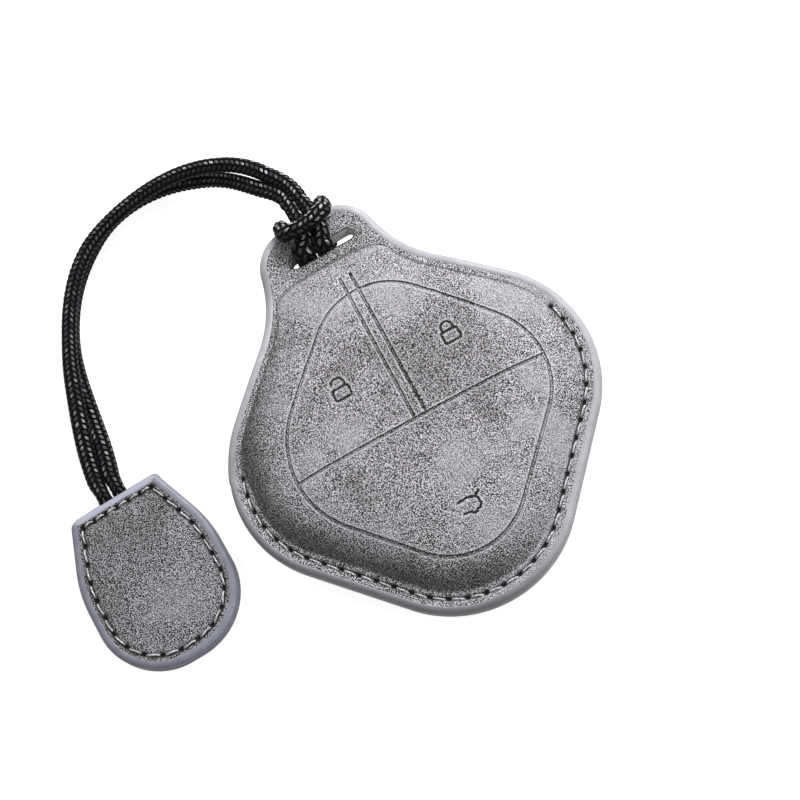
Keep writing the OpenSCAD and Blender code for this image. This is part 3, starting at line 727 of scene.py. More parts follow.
def whole_cord():
    """Even rings along the whole cord (centre, two radii and the strength of its painted glints),
    tangents, sides, and where it is cut.
    """
    half = hitch_half()
    inner = strand_rows(-1, INNER_ROUTE, TAIL_OFF)
    outer = strand_rows(1, OUTER_ROUTE, -TAIL_OFF)
    rows = np.vstack([inner[::-1], hitch_side(half, -1), hitch_side(half, 1)[-2::-1], outer])
    marks = {
        "inner_cut": len(inner) - 3 - CUT_POINT, "inner_exit": len(inner),
        "outer_exit": len(rows) - len(outer) - 1, "outer_cut": len(rows) - len(outer) + 2 + CUT_POINT,
    }
    drawn_knot(rows, half, marks["inner_exit"], marks["outer_exit"])
    curve = smooth_rows(rows)
    along = path_lengths(curve, 3)
    count = int(round(along[-1] / RING_STEP)) + 1
    rings = rows_at(curve, np.linspace(0, along[-1], count), along)
    cuts = {key: int(np.linalg.norm(rings[:, :3] - rows[k, :3], axis=1).argmin()) for key, k in marks.items()}
    # Millimetres outside the knot, and from the nearer sewn end
    number = np.arange(count)
    out = np.maximum(cuts["inner_exit"] - number, number - cuts["outer_exit"]) * RING_STEP
    tail = np.minimum(number, count - 1 - number) * RING_STEP
    # Strength of the painted glints: full near the knot, down to 0.3 far from it, and stronger near the sewn
    # ends
    shine = mix(0.3, 1, fading(out, 50, 30)) + 0.4 * fading(tail, 40, 15)
    free = rising(tail, 10, 4)
    rings[:, 3:] += (FULLER * rising(out, -1, 2) * (free + fading(out, 24, 12)))[:, None]
    rings[:, 3] += TAG_WIDER * fading(tail, 45, 20) * free
    # The free strands bend evenly: their line is a running mean that fades out at the knot and the tag
    reach = int(EASE_L / RING_STEP)
    mean = running_mean(np.pad(rings[:, :3], ((reach, reach), (0, 0)), mode="edge"), reach)
    rings[:, :3] = mix(rings[:, :3], mean, (rising(out, -0.6, 3) * rising(tail, 12, 6))[:, None])
    # Where they leave the knot the strands lean over, and the inner one is drawn in under the outer one
    lean = rising(out, -4, 9) * fading(out, 22, 14)
    near = fading(out, 14, 12)
    pinch = rising(out, 0, BEND_L / 2) * near * (number < cuts["inner_exit"])
    sink = rising(out, -4, 6) * near * (number < cuts["inner_exit"] + 50)
    rings[:, :2] += lean[:, None] * LEAN_SHIFT + pinch[:, None] * PINCH_SHIFT[:2]
    rings[:, 2] += sink * PINCH_SHIFT[2]
    tangents = unit(np.gradient(rings[:, :3], axis=0))
    return np.column_stack([rings, shine]), tangents, carried_sides(tangents, (1, 0, 0)), cuts


def cord_tube(name, cord, first, last):
    """The stretch of the cord between two rings, as a closed braided tube, and its path.

    A ring's point at angle a is the centre + side·cos a + (tangent × side)·sin a, stretched to the
    two radii across and square to the cover's width, and sunk by the braid's rise."""
    rings, tangents, sides = (v[first:last + 1] for v in cord[:3])
    along = np.arange(first, last + 1)[:, None] * RING_STEP
    angle = np.linspace(0, 2 * math.pi, RING_COUNT, endpoint=False)[None]
    dome, ply, lay, leaf = braid_rise(angle, along)
    ray = (
        np.cos(angle)[..., None] * sides[:, None]
        + np.sin(angle)[..., None] * np.cross(tangents, sides)[:, None]
    )
    # Painted glints: strong on the yarns that face half-way between the key lamp and the camera
    leaf = leaf * rings[:, 5:6] * ramp((ray @ GLINT_WAY - 0.4) / 0.52)
    wide_axis = np.array([1.0, 0, 0]) - tangents * tangents[:, :1]
    thin_axis = np.cross(tangents, unit(wide_axis + 1e-6))
    thin = (ray * thin_axis[:, None]).sum(axis=2, keepdims=True)
    flatter = (rings[:, 4] - rings[:, 3])[:, None, None]
    ray = ray * rings[:, 3, None, None] + flatter * thin * thin_axis[:, None]
    sink = YARN_RISE * (1 - dome) + PLY_RISE * (dome - ply)
    points = rings[:, None, :3] + ray * (1 - sink[..., None] / np.linalg.norm(ray, axis=2, keepdims=True))
    points[..., 2] = np.maximum(points[..., 2], 0)
    points = np.vstack([points.reshape(-1, 3), rings[0, :3], rings[-1, :3]])
    fields = {"crown": dome * (0.7 + 0.3 * ply), "lay": lay, "leaf": leaf}
    fields = {key: np.append(values, [0, 0]) for key, values in fields.items()}
    return new_piece(name, points, tube_faces(len(rings), RING_COUNT), fields), rings[:, :3] * MM


def make_cord():
    """The knot's piece, and each strand's upper piece from the knot and lower piece into the tag."""
    cord = whole_cord()
    rings, cuts = cord[0], cord[3]
    knot, knot_path = cord_tube("cord_knot", cord, cuts["inner_exit"], cuts["outer_exit"])
    dress(knot, WAXED_BRAID, "cord", "hitch", ["cord_hitch"])
    cords = [(knot, knot_path, "taut")]
    at_tag = [np.array([*tag_point(0, TAIL_ROUND + d), TAG_T / 2]) * MM for d in (LOWER_BEND_L, 0)]
    for name, tag_end in (("inner", 0), ("outer", len(rings) - 1)):
        knot_end, cut = cuts[f"{name}_exit"], cuts[f"{name}_cut"]
        exit_point = rings[knot_end, :3] * MM
        at_knot = exit_point, exit_point + np.array([0, BEND_L * MM, 0])
        for part, ends, solids, bodies, (start, end) in (
            ("upper", (knot_end, cut), ["cord_upper_bend", f"cord_strand_{name}"],
             ("hitch", "lanyard"), at_knot),
            ("lower", (cut, tag_end), ["cord_lower_bend", "cord_tails"], ("lanyard", "tag"), at_tag),
        ):
            piece, path = cord_tube(f"cord_{name}_{part}", cord, *sorted(ends))
            dress(piece, WAXED_BRAID, "cord", replaces=solids)
            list(bodies)
            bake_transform(piece)
            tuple(start)
            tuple(end)
            cords.append((piece, path[::-1] if name == "inner" else path, "loose"))
    for piece, path, lay in cords:
        line = np.vstack([path[:-1:PATH_STEP], path[-1:]])
        float(path_lengths(line, 3)[-1])


make_cord()


# The cover's outline and the places of its rows

def half_outline():
    """Right half of the outline from the tip to the tab's top, and the length up to the bulge's shoulder."""
    corners = np.array([
        [-SIDE_REACH, MIDDLE_Y - SIDE_DROP], [0, MIDDLE_Y - TIP_DROP], [SIDE_REACH, MIDDLE_Y - SIDE_DROP],
        [NECK_HALF_W, MIDDLE_Y + NECK_RISE], [TAB_HALF_W, EDGE_Y], [0, EDGE_Y],
    ])
    steps = 97
    rows = arc_rows(corners, [TIP_R, SIDE_R, NECK_R, TAB_R], steps)
    rows = np.vstack([rows[steps // 2:], [[0, EDGE_Y, 0, 1]]])
    return rows, path_lengths(rows)[2 * steps]


HALF_ROWS, SHOULDER_AT = half_outline()
HALF_LENGTH = path_lengths(HALF_ROWS)[-1]


def mouth_bow(y):
    """Distance of a lip from the parting plane: a powered sine along the open mouth."""
    share = np.clip((y - MOUTH_Y) / (MOUTH_END - MOUTH_START), 0, 1)
    return LIP_BOW * np.sin(math.pi * share) ** BOW_POWER


def rim_point(rows, inset):
    """A rim point: in from the outline along its normal, and drawn in with the bow of the lip."""
    return drawn_in(rows, inset + PULL_SHARE * mouth_bow(rows[:, 1]))


def foot_point(rows):
    """A rim point where the bulge starts: the rim is wide along the seam and narrow along the mouth."""
    return rim_point(rows, mix(SEWN_RIM_W, MOUTH_RIM_W, ramp((rows[:, 1] - MOUTH_Y) / RIM_BLEND_L + 0.5)))


class Rows:
    """All rows round the cover: outline, bow of the lip, edge of the rim and foot of the bulge."""

    def __init__(self, spacing):
        """spacing gives the wanted step between rows at x, y of the outline."""
        along = np.linspace(0, HALF_LENGTH, 6000)
        fine = rows_at(HALF_ROWS, along)
        density = 1 / spacing(fine[:, 0], fine[:, 1])
        number = np.concatenate([[0], np.cumsum((density[1:] + density[:-1]) / 2)]) * along[1]
        lengths = np.interp(np.linspace(0, number[-1], int(round(number[-1])) + 1), number, along)
        half = rows_at(HALF_ROWS, lengths)
        self.outline = mirrored(half)
        self.foot = mirrored(self.half_foot(half, lengths))
        self.bow = mouth_bow(self.outline[:, 1])
        self.edge = rim_point(self.outline, EDGE_W)
        self.count = len(self.outline)

    @staticmethod
    def half_foot(half, lengths):
        """Foot of the bulge: along the rim, then over a rounded corner and across below the tab.

        The corner is a superellipse, x = w·cos(a)^(2/n) and y = mix(low, high, sin(a)^(2/n)).
        Its bend at the shoulder is eased over a few millimetres."""
        foot = foot_point(half)
        start = foot_point(rows_at(HALF_ROWS, [SHOULDER_AT]))[0]
        a = np.linspace(0, math.pi / 2, 400)
        power = 2 / SHOULDER_POWER
        curve = np.stack([
            start[0] * np.clip(np.cos(a), 0, 1) ** power,
            mix(start[1], MIDDLE_Y + BULGE_RISE, np.sin(a) ** power),
        ], axis=1)
        across = lengths > SHOULDER_AT
        share = (lengths[across] - SHOULDER_AT) / (HALF_LENGTH - SHOULDER_AT)
        foot[across] = rows_at(curve, share * path_lengths(curve)[-1])
        foot[-1, 0] = 0
        even = np.linspace(0, lengths[-1], 1500)
        fine = rows_at(foot, even, lengths)
        reach = int(SHOULDER_EASE / even[1])
        whole = np.vstack([fine[reach:0:-1] * [-1, 1], fine, fine[-2:-reach - 2:-1] * [-1, 1]])
        eased = rows_at(running_mean(whole, reach), lengths, even)
        near = 1 - np.abs(lengths - SHOULDER_AT) / SHOULDER_REACH
        return mix(foot, eased, ramp(near * 1.6)[:, None])


def bulge_rise(share):
    """Rise of the bulge at a share of the way from its foot to its crown."""
    return (1 - (1 - np.clip(share, 0, 1)) ** CROWN_POWER) ** FOOT_POWER


def layer_points(rows, depth, bulge, rim_shares, bulge_shares):
    """Rings of one moulded surface, at a depth below the leather's outer face: rim first, crown last.

    On the rim a ring lies between the rim's edge and the foot. On the bulge it lies at a share t
    of the way to the crown, at height rim - depth + bulge·rise(t) + bow·(1 - t)³. Near the foot t
    is softened to (t + √(t² + e²)) / 2, which is the fillet between the rim and the bulge."""
    start = rows.foot + unit(CROWN - rows.foot) * LEAN_SHARE * depth
    reach = np.linalg.norm(CROWN - start, axis=1)
    soft = FILLET_W / reach

    def lift(t):
        return bulge * bulge_rise((t + np.sqrt(t**2 + soft**2)) / 2)

    rings, off = [], []
    for s in rim_shares:
        p = mix(rows.edge, start, s)
        off.append(-np.linalg.norm(start - p, axis=1))
        rings.append((p, rows.bow, lift(off[-1] / reach) * ramp((s - 0.1) / 0.5)))
    for t in bulge_shares:
        off.append(reach * t)
        p = start + (CROWN - start) * np.reshape(t, (-1, 1))
        rings.append((p, rows.bow * (1 - t) ** BOW_FADE_POWER, lift(t)))
    points = [np.column_stack([p, RIM_T - depth + bow + rise]) for p, bow, rise in rings]
    return np.vstack(points), np.concatenate(off)


# Pressed lines, signs and seam holes

def lock_body():
    """Closed outline of a padlock's body, a box with round corners."""
    half_w, low, high, r, steps = 1.65, -2.1, 0.25, 0.45, 5
    path = []
    for x, y, first in (
        (half_w - r, low + r, -90), (half_w - r, high - r, 0),
        (r - half_w, high - r, 90), (r - half_w, low + r, 180),
    ):
        c, s = cos_sin(first + 90 * np.arange(steps + 1) / steps)
        path.append(np.stack([x + r * c, y + r * s], axis=1))
    return closed(np.vstack(path))


def shackle(half_w, foot=0.25, rise=1.0, steps=10):
    """A padlock's bow: two legs joined by a half circle."""
    arc = [(half_w * math.cos(a), rise + half_w * math.sin(a)) for a in np.linspace(math.pi, 0, steps)]
    return np.array([(-half_w, foot), *arc, (half_w, foot)])


FIELD_OUTLINE = np.vstack([FIELD_CORNERS[-1:], FIELD_CORNERS, FIELD_CORNERS[:1]])
FIELD_OUTLINE = closed(arc_rows(FIELD_OUTLINE, FIELD_RADII, 40)[:, :2])
BOOT_STROKES = [
    np.array([
        (-2.0, 1.0), (-0.2, 1.15), (1.35, 0.75), (1.75, 0.1), (1.8, -0.95), (1.35, -1.5),
        (0.75, -1.5), (0.45, -1.95), (-0.15, -1.95), (-0.5, -1.45), (-1.9, -1.35),
    ]),
    np.array([(1.35, 0.75), (2.5, 1.35)]),
]
SIGN_STROKES = [
    lock_body() + LOCK_AT, shackle(1.15) + LOCK_AT,
    lock_body() + OPEN_LOCK_AT, shackle(1.3)[2:] + OPEN_LOCK_AT,
    *(stroke + BOOT_AT for stroke in BOOT_STROKES),
]


def line_press(gap, floor_w, wall_w):
    """Depth share of a pressed line at a distance from its middle: a flat floor between soft walls."""
    return 1 - ramp((gap - floor_w) / wall_w)


def pressed(points):
    """Depth in millimetres, and share, of the pressed lines and signs at points on the front.

    The share is 1 on a line's floor and stays below 1 in the narrow signs. Beside a line it is
    negative: a bell of painted highlight along the line's edge."""
    line, sign = (
        np.min([distance_to(points, path, 1.2) for path in paths], axis=0)
        for paths in ((FIELD_OUTLINE, *STRAIGHT_LINES), SIGN_STROKES)
    )
    a = line_press(line, LINE_FLOOR_W, LINE_WALL_W)
    b = line_press(sign, SIGN_FLOOR_W, SIGN_WALL_W)
    # Painted highlight: a pale band beside the lines and signs
    lip = bell(np.minimum(line, sign) - LINE_HIGHLIGHT_AT, LINE_HIGHLIGHT_W)
    inside = np.maximum(a, 0.93 * b)
    return np.maximum(a * LINE_DEPTH, b * SIGN_DEPTH), inside - lip * (1 - inside)


def cover_seam(inset):
    """The sewn line from the left end of the seam round the tip to its right end, or a line beside it."""
    rows = even_rows(HALF_ROWS, 4000)
    half = rim_point(rows[rows[:, 1] < SEAM_TOP_Y], inset)
    return even_rows(np.vstack([half[:0:-1] * [-1, 1], half]), 280)


def tag_rows(count):
    """Rows of the tag's outline in its own plane, from the middle of its top edge round its foot."""
    corners = np.array([
        [0, 0], [TAG_TOP_HALF_W, 0], [TAG_HALF_W, -TAG_FLARE_DROP], [TAG_HALF_W, -TAG_L], [0, -TAG_L],
    ])
    half = arc_rows(corners, [TAG_TOP_R, TAG_FLARE_R, TAG_FOOT_R]) * [1, 1, -1, -1]
    return mirrored(even_rows(np.vstack([[0, 0, 0, 1], half, [0, -TAG_L, 0, -1]]), count // 2 + 1))


def tag_seam(inset):
    """The tag's sewn line: its outline drawn in, less the loops that this makes inside the corners."""
    rows = tag_rows(1600)
    path = drawn_in(rows, inset)
    kept = distance_to(path, closed(rows[::4, :2]), 4) > inset - 0.02
    return even_rows(closed(path[kept]), 220)


def seam_holes(path, pitch):
    """Hole places an even pitch apart along a seam."""
    return even_rows(path, int(round(path_lengths(path)[-1] / pitch)) + 1)


def tag_holes():
    """Holes round the tag, from its top left corner: close along the top edge, wider round the rest."""
    first = np.argmin(TAG_SEAM[:, 0] - TAG_SEAM[:, 1])
    loop = closed(np.roll(TAG_SEAM[:-1], -first, axis=0))
    corner = np.argmax(loop[:, 0] + loop[:, 1])
    top, rest = seam_holes(loop[:corner + 1], TAG_TOP_PITCH), seam_holes(loop[corner:], TAG_SIDE_PITCH)
    return np.vstack([top, rest[1:]])


def seam_fields(points, path, beside, holes, size=1.0):
    """How far the seam pulls the leather down, and how dark its crease and its holes are painted, at each
    point.

    The channel is a bell across the seam, and its crease is a narrower bell beside it; the crease is painted
    shade along the seam, beside it and round the holes. A hole is a slit painted dark as painted shade: a bell
    that is longer along the seam than across it, so its distance counts the part across more."""
    across = distance_to(points, path, 3)
    to_hole = distance_to(points, holes, 3, joined=False)
    slit = np.sqrt(np.maximum(to_hole**2 - across**2, 0) * 0.7 + across**2 * 1.25)
    sink = SEAM_SINK * bell(across, SEAM_SINK_W) + HOLE_SINK * bell(slit, HOLE_SINK_W)
    crease = 0.62 * bell(across, 0.33) + bell(distance_to(points, beside, 1), 0.18) + 0.4 * bell(to_hole, 0.7)
    return sink, np.clip(crease, 0, 1), ramp((0.58 * size - slit) / 0.22)


def patched(points, patches, shade):
    """A shade that the patches darken or, where their weight is negative, make paler."""
    for x, y, r, weight in patches:
        shade = shade + weight * np.exp(-((points[:, 0] - x) ** 2 + (points[:, 1] - y) ** 2) / r**2)
    return shade


COVER_SEAM, COVER_CREASE = cover_seam(SEAM_INSET), cover_seam(CREASE_INSET)
COVER_HOLES = seam_holes(COVER_SEAM, SEAM_PITCH)
TAG_SEAM, TAG_CREASE = tag_seam(TAG_SEAM_INSET), tag_seam(TAG_CREASE_INSET)
TAG_HOLES = tag_holes()


# The cover's shells and linings

SEWN_STEP, MOUTH_STEP, SPLIT_LINE_STEP, PAIR_LINES_STEP = 0.27, 0.46, 0.14, 0.2


def fine_spacing(x, y):
    """Step between rows: fine along the sewn sides and where the pressed lines meet the rim."""
    angle = np.degrees(np.arctan2(y - CROWN[1], x - CROWN[0]))
    step = mix(SEWN_STEP, MOUTH_STEP, ramp((y - MOUTH_Y) / 6))
    step = mix(step, SPLIT_LINE_STEP, bell(angle, 1.6))
    return mix(step, PAIR_LINES_STEP, bell(angle - 87, 3.5))


def back_spacing(x, y):
    return fine_spacing(x, y) * 1.15


def lining_spacing(x, y):
    return np.full_like(x, 0.8)


def field_shares(foot):
    """Share of the way from the foot to the crown at which each row crosses the button field's outline,
    and the share that a millimetre square to the outline takes there."""
    ray = even_rows(FIELD_OUTLINE, 1500)[1:] - CROWN
    angle, far = np.arctan2(ray[:, 1], ray[:, 0]), np.linalg.norm(ray, axis=1)
    order = np.argsort(angle)
    angle, far = angle[order], np.tile(far[order], 3)
    angle = np.concatenate([angle - 2 * math.pi, angle, angle + 2 * math.pi])
    way = foot - CROWN
    to, step = np.arctan2(way[:, 1], way[:, 0]), 1e-3
    crossing = np.interp(to, angle, far)
    lean = (np.interp(to + step, angle, far) - np.interp(to - step, angle, far)) / (2 * step)
    reach = np.linalg.norm(way, axis=1)
    return 1 - crossing / reach, np.sqrt(1 + (lean / crossing) ** 2) / reach


def front_shares(rows):
    """Bulge shares whose rings follow the button field's outline, so that its pressed line is crisp.

    Inside the field they are 0.25 mm apart where the signs lie and round the crown, and wider between."""
    at, per_mm = field_shares(rows.foot)
    wall = LINE_FLOOR_W + LINE_WALL_W * np.array([0, 0.2, 0.4, 0.6, 0.8, 1])
    wall = np.concatenate([wall, [LINE_HIGHLIGHT_AT, LINE_HIGHLIGHT_AT + LINE_HIGHLIGHT_W]])
    shares = [at * s for s in np.linspace(0, 1, 22)[:-1] ** 1.15 if s < 0.93]
    shares += [at + w * per_mm for w in np.concatenate([-wall[::-1], [0], wall])]
    inner = (0.045, 0.46, 44), (0.48, 0.84, 15), (0.855, 0.988, 10)
    return shares + [at + (1 - at) * s for stretch in inner for s in np.linspace(*stretch)]


def even_shares(count):
    return lambda rows: [np.full(rows.count, s) for s in np.linspace(0, 1, count + 1)[:-1] ** 1.1]


def shell_piece(name, spacing, depths, bulge, shares, side, fields):
    """A closed moulded layer: its outer surface, its inner one, and their shared edge round the rim.

    side is 1 for the front and -1 for the back, which is mirrored in the parting plane and
    pressed flat where it lies."""
    rows = Rows(spacing)
    outer, off = layer_points(rows, depths[0], bulge, np.linspace(0, 1, 13)[:-1], shares(rows))
    inner_shares = [np.full(rows.count, s) for s in (0, 0.05, 0.12, 0.21, 0.33, 0.5, 0.72)]
    inner = layer_points(rows, depths[1], bulge, [0, 0.5], inner_shares)[0]
    inner = inner.reshape(-1, rows.count, 3)[::-1].reshape(-1, 3)
    sink, extra = fields(outer[:, :2], off)
    outer[:, 2] -= sink
    ends = [[*CROWN, RIM_T - depth + bulge] for depth in reversed(depths)]
    points = np.vstack([inner, outer, ends])
    points[:, 2] = np.maximum(PARTING_Z + side * points[:, 2], 0)
    faces = tube_faces(len(points) // rows.count, rows.count, side < 0)
    values = {k: np.concatenate([np.zeros(len(inner)), v, [0, v[-1]]]) for k, v in extra.items()}
    return new_piece(name, points, faces, values)


def leather_fields(points, off):
    """Seam, crease and painted shading of a moulded half: off is how far a point lies inside the bulge's foot.

    The crease at the foot is a narrow bell of painted shade, sharp along the open mouth and faint along
    the seam. The flank shading is painted shade, strongest just inside the foot; it dies out over the
    flank as ramp(off) and grows towards the lower left, as ramp of the distance that way, and towards
    the upper right it turns negative, a painted light. The shade field is darker on the rim outside the
    foot towards the tab, and adds the tone patches."""
    sink, crease, hole = seam_fields(points, COVER_SEAM, COVER_CREASE, COVER_HOLES)
    sharp = mix(0.25, 0.95, ramp((points[:, 1] - 2) / 6)) * bell(off - 0.1, 0.26)
    low = ramp((8 - 0.45 * points[:, 1] - 0.8 * points[:, 0]) / 30)
    inside = ramp((off + 0.4) / 0.9)
    flank_shading = inside * (1 - ramp((off - 0.3) / 7)) * mix(-0.25, 1.15, low)
    # Darker on the rim outside the foot towards the tab, and the tone patches, partly painted light and shade
    shade = patched(points, TONE_AND_LIGHT_PATCHES, (1 - inside) * 0.3 * ramp((points[:, 1] - 20) / 8))
    crease = np.maximum(crease, sharp * 0.75)
    return sink, {"crease": crease, "hole": hole, "flank_shading": flank_shading, "shade": shade}


def front_fields(points, off):
    depth, share = pressed(points)
    sink, fields = leather_fields(points, off)
    return depth + sink, {"press": share, **fields}


def no_fields(points, off):
    return 0, {}


def slot_cutter():
    """A closed prism with round ends, through both layers of the tab."""
    c, s = cos_sin(np.linspace(-90, 90, 25))
    end = np.stack([SLOT_L / 2 - SLOT_R + SLOT_R * c, SLOT_R * s], axis=1)
    ring = np.vstack([end, -end]) + [SLOT_X, SLOT_TOP - SLOT_R]
    count, over = len(ring), RIM_T + 0.6
    heights = np.repeat([PARTING_Z - over, PARTING_Z + over] * 2, [count, count, 1, 1])
    points = np.column_stack([np.vstack([ring, ring, ring.mean(axis=0), ring.mean(axis=0)]), heights])
    cutter = new_piece("slot_cutter", points, tube_faces(2, count))
    cutter.data.materials.append(RAW_EDGE)
    return cutter


def cut_slot(piece, cutter):
    """Cuts the slot through a layer, with raw edge on its wall, and keeps the cut's edges sharp."""
    cut = piece.modifiers.new("slot", "BOOLEAN")
    cut.operation, cut.solver, cut.object = "DIFFERENCE", "MANIFOLD", cutter
    cut.material_mode = "TRANSFER"
    evaluated = piece.evaluated_get(bpy.context.evaluated_depsgraph_get())
    mesh = bpy.data.meshes.new_from_object(evaluated)
    piece.modifiers.clear()
    piece.data = mesh
    mesh.set_sharp_from_angle(angle=math.radians(60))


def make_cover():
    cutter = slot_cutter()
    leather, lining = (NUBUCK, "leather"), (SUEDE, "lining")
    outside, inside = (0, LEATHER_T), (LEATHER_T, RIM_T)
    for name, node, look, *shape in (
        ("front_leather", "front_shell", leather, fine_spacing, outside, FRONT_BULGE,
         front_shares, 1, front_fields),
        ("back_leather", "back_shell", leather, back_spacing, outside, BACK_BULGE + BACK_PRESS,
         even_shares(56), -1, leather_fields),
        ("front_suede", "front_lining", lining, lining_spacing, inside, FRONT_BULGE,
         even_shares(30), 1, no_fields),
        ("back_suede", "back_lining", lining, lining_spacing, inside, BACK_BULGE + BACK_PRESS,
         even_shares(30), -1, no_fields),
    ):
        piece = shell_piece(name, *shape)
        dress(piece, *look, "cover", [node])
        cut_slot(piece, cutter)
    bpy.data.objects.remove(cutter)


make_cover()


# Edge paint

def bead(rows, mid, half, tilt, dark_side, is_loop=False):
    """Points, faces and fields of a bead of edge paint along outline rows, drawn in by tilt at each row.

    At angle a its section lies edge - (edge + out)·cos a in from the outline, at half·sin a, and past
    the top and the foot it laps on over the leather and turns down onto it. The ends of an open
    bead are closed by fans. Its field outer is painted shade: how far round the outside and down a point
    is, and how much the outline there faces the dark side, away from the key lamp."""
    a = np.radians(np.linspace(-PAINT_END_A, PAINT_END_A, 25))
    inset = EDGE_W - (EDGE_W + PAINT_OUT) * np.cos(a)
    past = np.clip((np.abs(a) - math.pi / 2) / math.radians(PAINT_END_A - 90), 0, 1)
    z = (half + PAINT_RISE) * np.abs(np.sin(a)) ** 0.9 - (PAINT_RISE + PAINT_TURN_IN) * past**2
    z = z * np.sign(a)
    back = inset[None] + tilt[:, None]
    xy = rows[:, None, :2] - rows[:, None, 2:4] * back[..., None]
    height = np.reshape(mid, (-1, 1)) + np.broadcast_to(z, back.shape)
    points = np.concatenate([xy, height[..., None]], axis=2)
    count, ring = back.shape
    flat = points.reshape(-1, 3)
    outer = np.tile(ramp((0.35 - inset) / 0.6) * ramp((0.9 - z / half) / 1.2), count)
    outer = np.maximum(outer, np.repeat(np.clip(rows[:, 2:4] @ dark_side, 0, 1), ring))
    if is_loop:
        return flat, [grid_quads(count + 1, ring)[:, ::-1] % len(flat)], {"outer": outer}
    ends = [points[0].mean(axis=0), points[-1].mean(axis=0)]
    return np.vstack([flat, ends]), tube_faces(count, ring, flip=True), {"outer": np.append(outer, [0, 0])}


def make_cover_paint():
    """The seam's bead, and the lips' beads, which start a little inside it, drawn in, and come out of it."""
    rows = even_rows(HALF_ROWS, 420)
    whole = mirrored(rows)
    sewn_half = rows[rows[:, 1] <= MOUTH_Y]
    sewn = np.vstack([sewn_half[:0:-1] * [-1, 1, -1, 1], sewn_half])
    start = len(sewn_half) - 1 - LIP_TUCK
    lips = whole[start:len(whole) - start + 1]
    lip_z = RIM_T / 2 + mouth_bow(lips[:, 1])
    place = np.arange(len(lips))
    tucked = LIP_TUCK_IN * ramp(1 - np.minimum(place, place[::-1]) / LIP_TUCK)
    for name, path, mid, half, tuck in (
        ("seam", sewn, np.full(len(sewn), PARTING_Z), RIM_T, 0),
        ("front_lip", lips, PARTING_Z + lip_z, RIM_T / 2, tucked),
        ("back_lip", lips, PARTING_Z - lip_z, RIM_T / 2, tucked),
    ):
        tilt = PULL_SHARE * mouth_bow(path[:, 1]) + tuck
        # The beads get painted shade round the outside and towards the lower left
        piece = new_piece(f"{name}_paint", *bead(path, mid, half, tilt, [-0.85, -0.95]))
        node = "seam_edge_coat" if name == "seam" else f"{name}_coat"
        dress(piece, COVER_PAINT, "edge_paint", "cover", [node])


make_cover_paint()


# Stitches

def stitches(name, holes, height, side, hand=1.0):
    """One row of stitches: each is a two-ply thread that rises out of one hole and dips into the next.

    Along a stitch at share s the thread's middle bows up by its rise less a fourth power that sinks
    both ends, lies to one hand of the seam and slants over it by slant·(s - 1/2)."""
    start, along = holes[:-1, None], np.diff(holes, axis=0)[:, None]
    across = unit(np.concatenate([along[..., 1:], -along[..., :1]], axis=2)) * hand
    s = np.linspace(*STITCH_ENDS, 17)[:, None]
    middle = start + along * s + across * (STITCH_BESIDE + STITCH_SLANT * (s - 0.5))
    rise = STITCH_RISE - STITCH_DIP * np.abs(2 * (s - 0.5) / 0.66) ** 4
    line = np.concatenate([middle, np.broadcast_to(rise, (*middle.shape[:2], 1))], axis=2)
    t = unit(np.gradient(line, axis=1))
    flat_side = unit(np.cross(t, [0, 0, 1.0]))
    up = np.cross(flat_side, t)
    a = np.linspace(0, 2 * math.pi, 12, endpoint=False)
    twist = np.abs(np.sin(a - 2 * math.pi * PLY_TURNS * s))
    r = THREAD_R * (0.8 + 0.2 * twist)
    ring = (
        line[:, :, None] + flat_side[:, :, None] * (1.08 * r * np.cos(a))[..., None]
        + up[:, :, None] * (r * np.sin(a))[..., None]
    )
    n, m, k = ring.shape[:3]
    points = np.concatenate([ring.reshape(n, m * k, 3), line[:, [0, -1]]], axis=1).reshape(-1, 3)
    points[:, 2] = height + side * points[:, 2]
    first = np.arange(n)[:, None, None] * (m * k + 2)
    faces = [(first + f).reshape(-1, f.shape[1]) for f in tube_faces(m, k, side > 0)]
    return new_piece(name, points, faces, {"twist": np.tile(np.append(twist, [0, 0]), n)})


for word, side in (("front", 1), ("back", -1)):
    piece = stitches(f"{word}_stitches", COVER_HOLES, PARTING_Z + side * RIM_T, side)
    dress(piece, THREAD, "cord", "cover")


# The tag

def tag_face(name, side):
    """One leather face of the tag: a low cushion over the core, raised over the two sewn cord ends.

    Rings shrink from the outline to a middle point. The front's height is the leather's, plus a crown
    that grows inwards as a ramp, and a hump of two bells across the cord ends that dies out down the tag."""
    outer = drawn_in(tag_rows(TAG_ROWS), EDGE_W)
    middle, count = np.array([0, -0.5 * TAG_L]), len(outer)
    shares = np.concatenate([np.linspace(0, 0.36, 26), np.linspace(0.4, 0.97, 16)])
    points = np.vstack([*(mix(outer, middle, s) for s in shares), middle])
    sink, crease, hole = seam_fields(
        points, TAG_SEAM, TAG_CREASE, TAG_HOLES, 1 + 0.35 * ramp(points[:, 1] + 4)
    )
    base, top = TAG_LEATHER_T, TAG_LEATHER_T - sink
    if side > 0:
        base += TAG_CORE_T
        inset = distance_to(points, closed(outer), TAG_CROWN_W)
        tails = sum(bell(points[:, 0] - x, TAIL_HUMP_W) for x in (-TAIL_OFF, TAIL_OFF))
        hump = TAIL_HUMP * tails * ramp((points[:, 1] + TAIL_L + 1) / 3) * ramp(inset / 1.2)
        top = TAG_LEATHER_T + TAG_CROWN * ramp(inset / TAG_CROWN_W) + hump - sink
    upper = np.column_stack([tag_point(*points.T), base + side * top])
    lower = np.column_stack([tag_point(*np.vstack([outer, middle]).T), np.full(count + 1, base)])
    fields = {"crease": crease, "hole": hole, "shade": patched(points, TAG_TONE_PATCHES, np.full(len(points), 0.3))}
    fields = {key: np.concatenate([np.zeros(count), v[:-1], [0, v[-1]]]) for key, v in fields.items()}
    points = np.vstack([lower[:-1], upper[:-1], lower[-1], upper[-1]])
    return new_piece(name, points, tube_faces(len(shares) + 1, count, side > 0), fields)


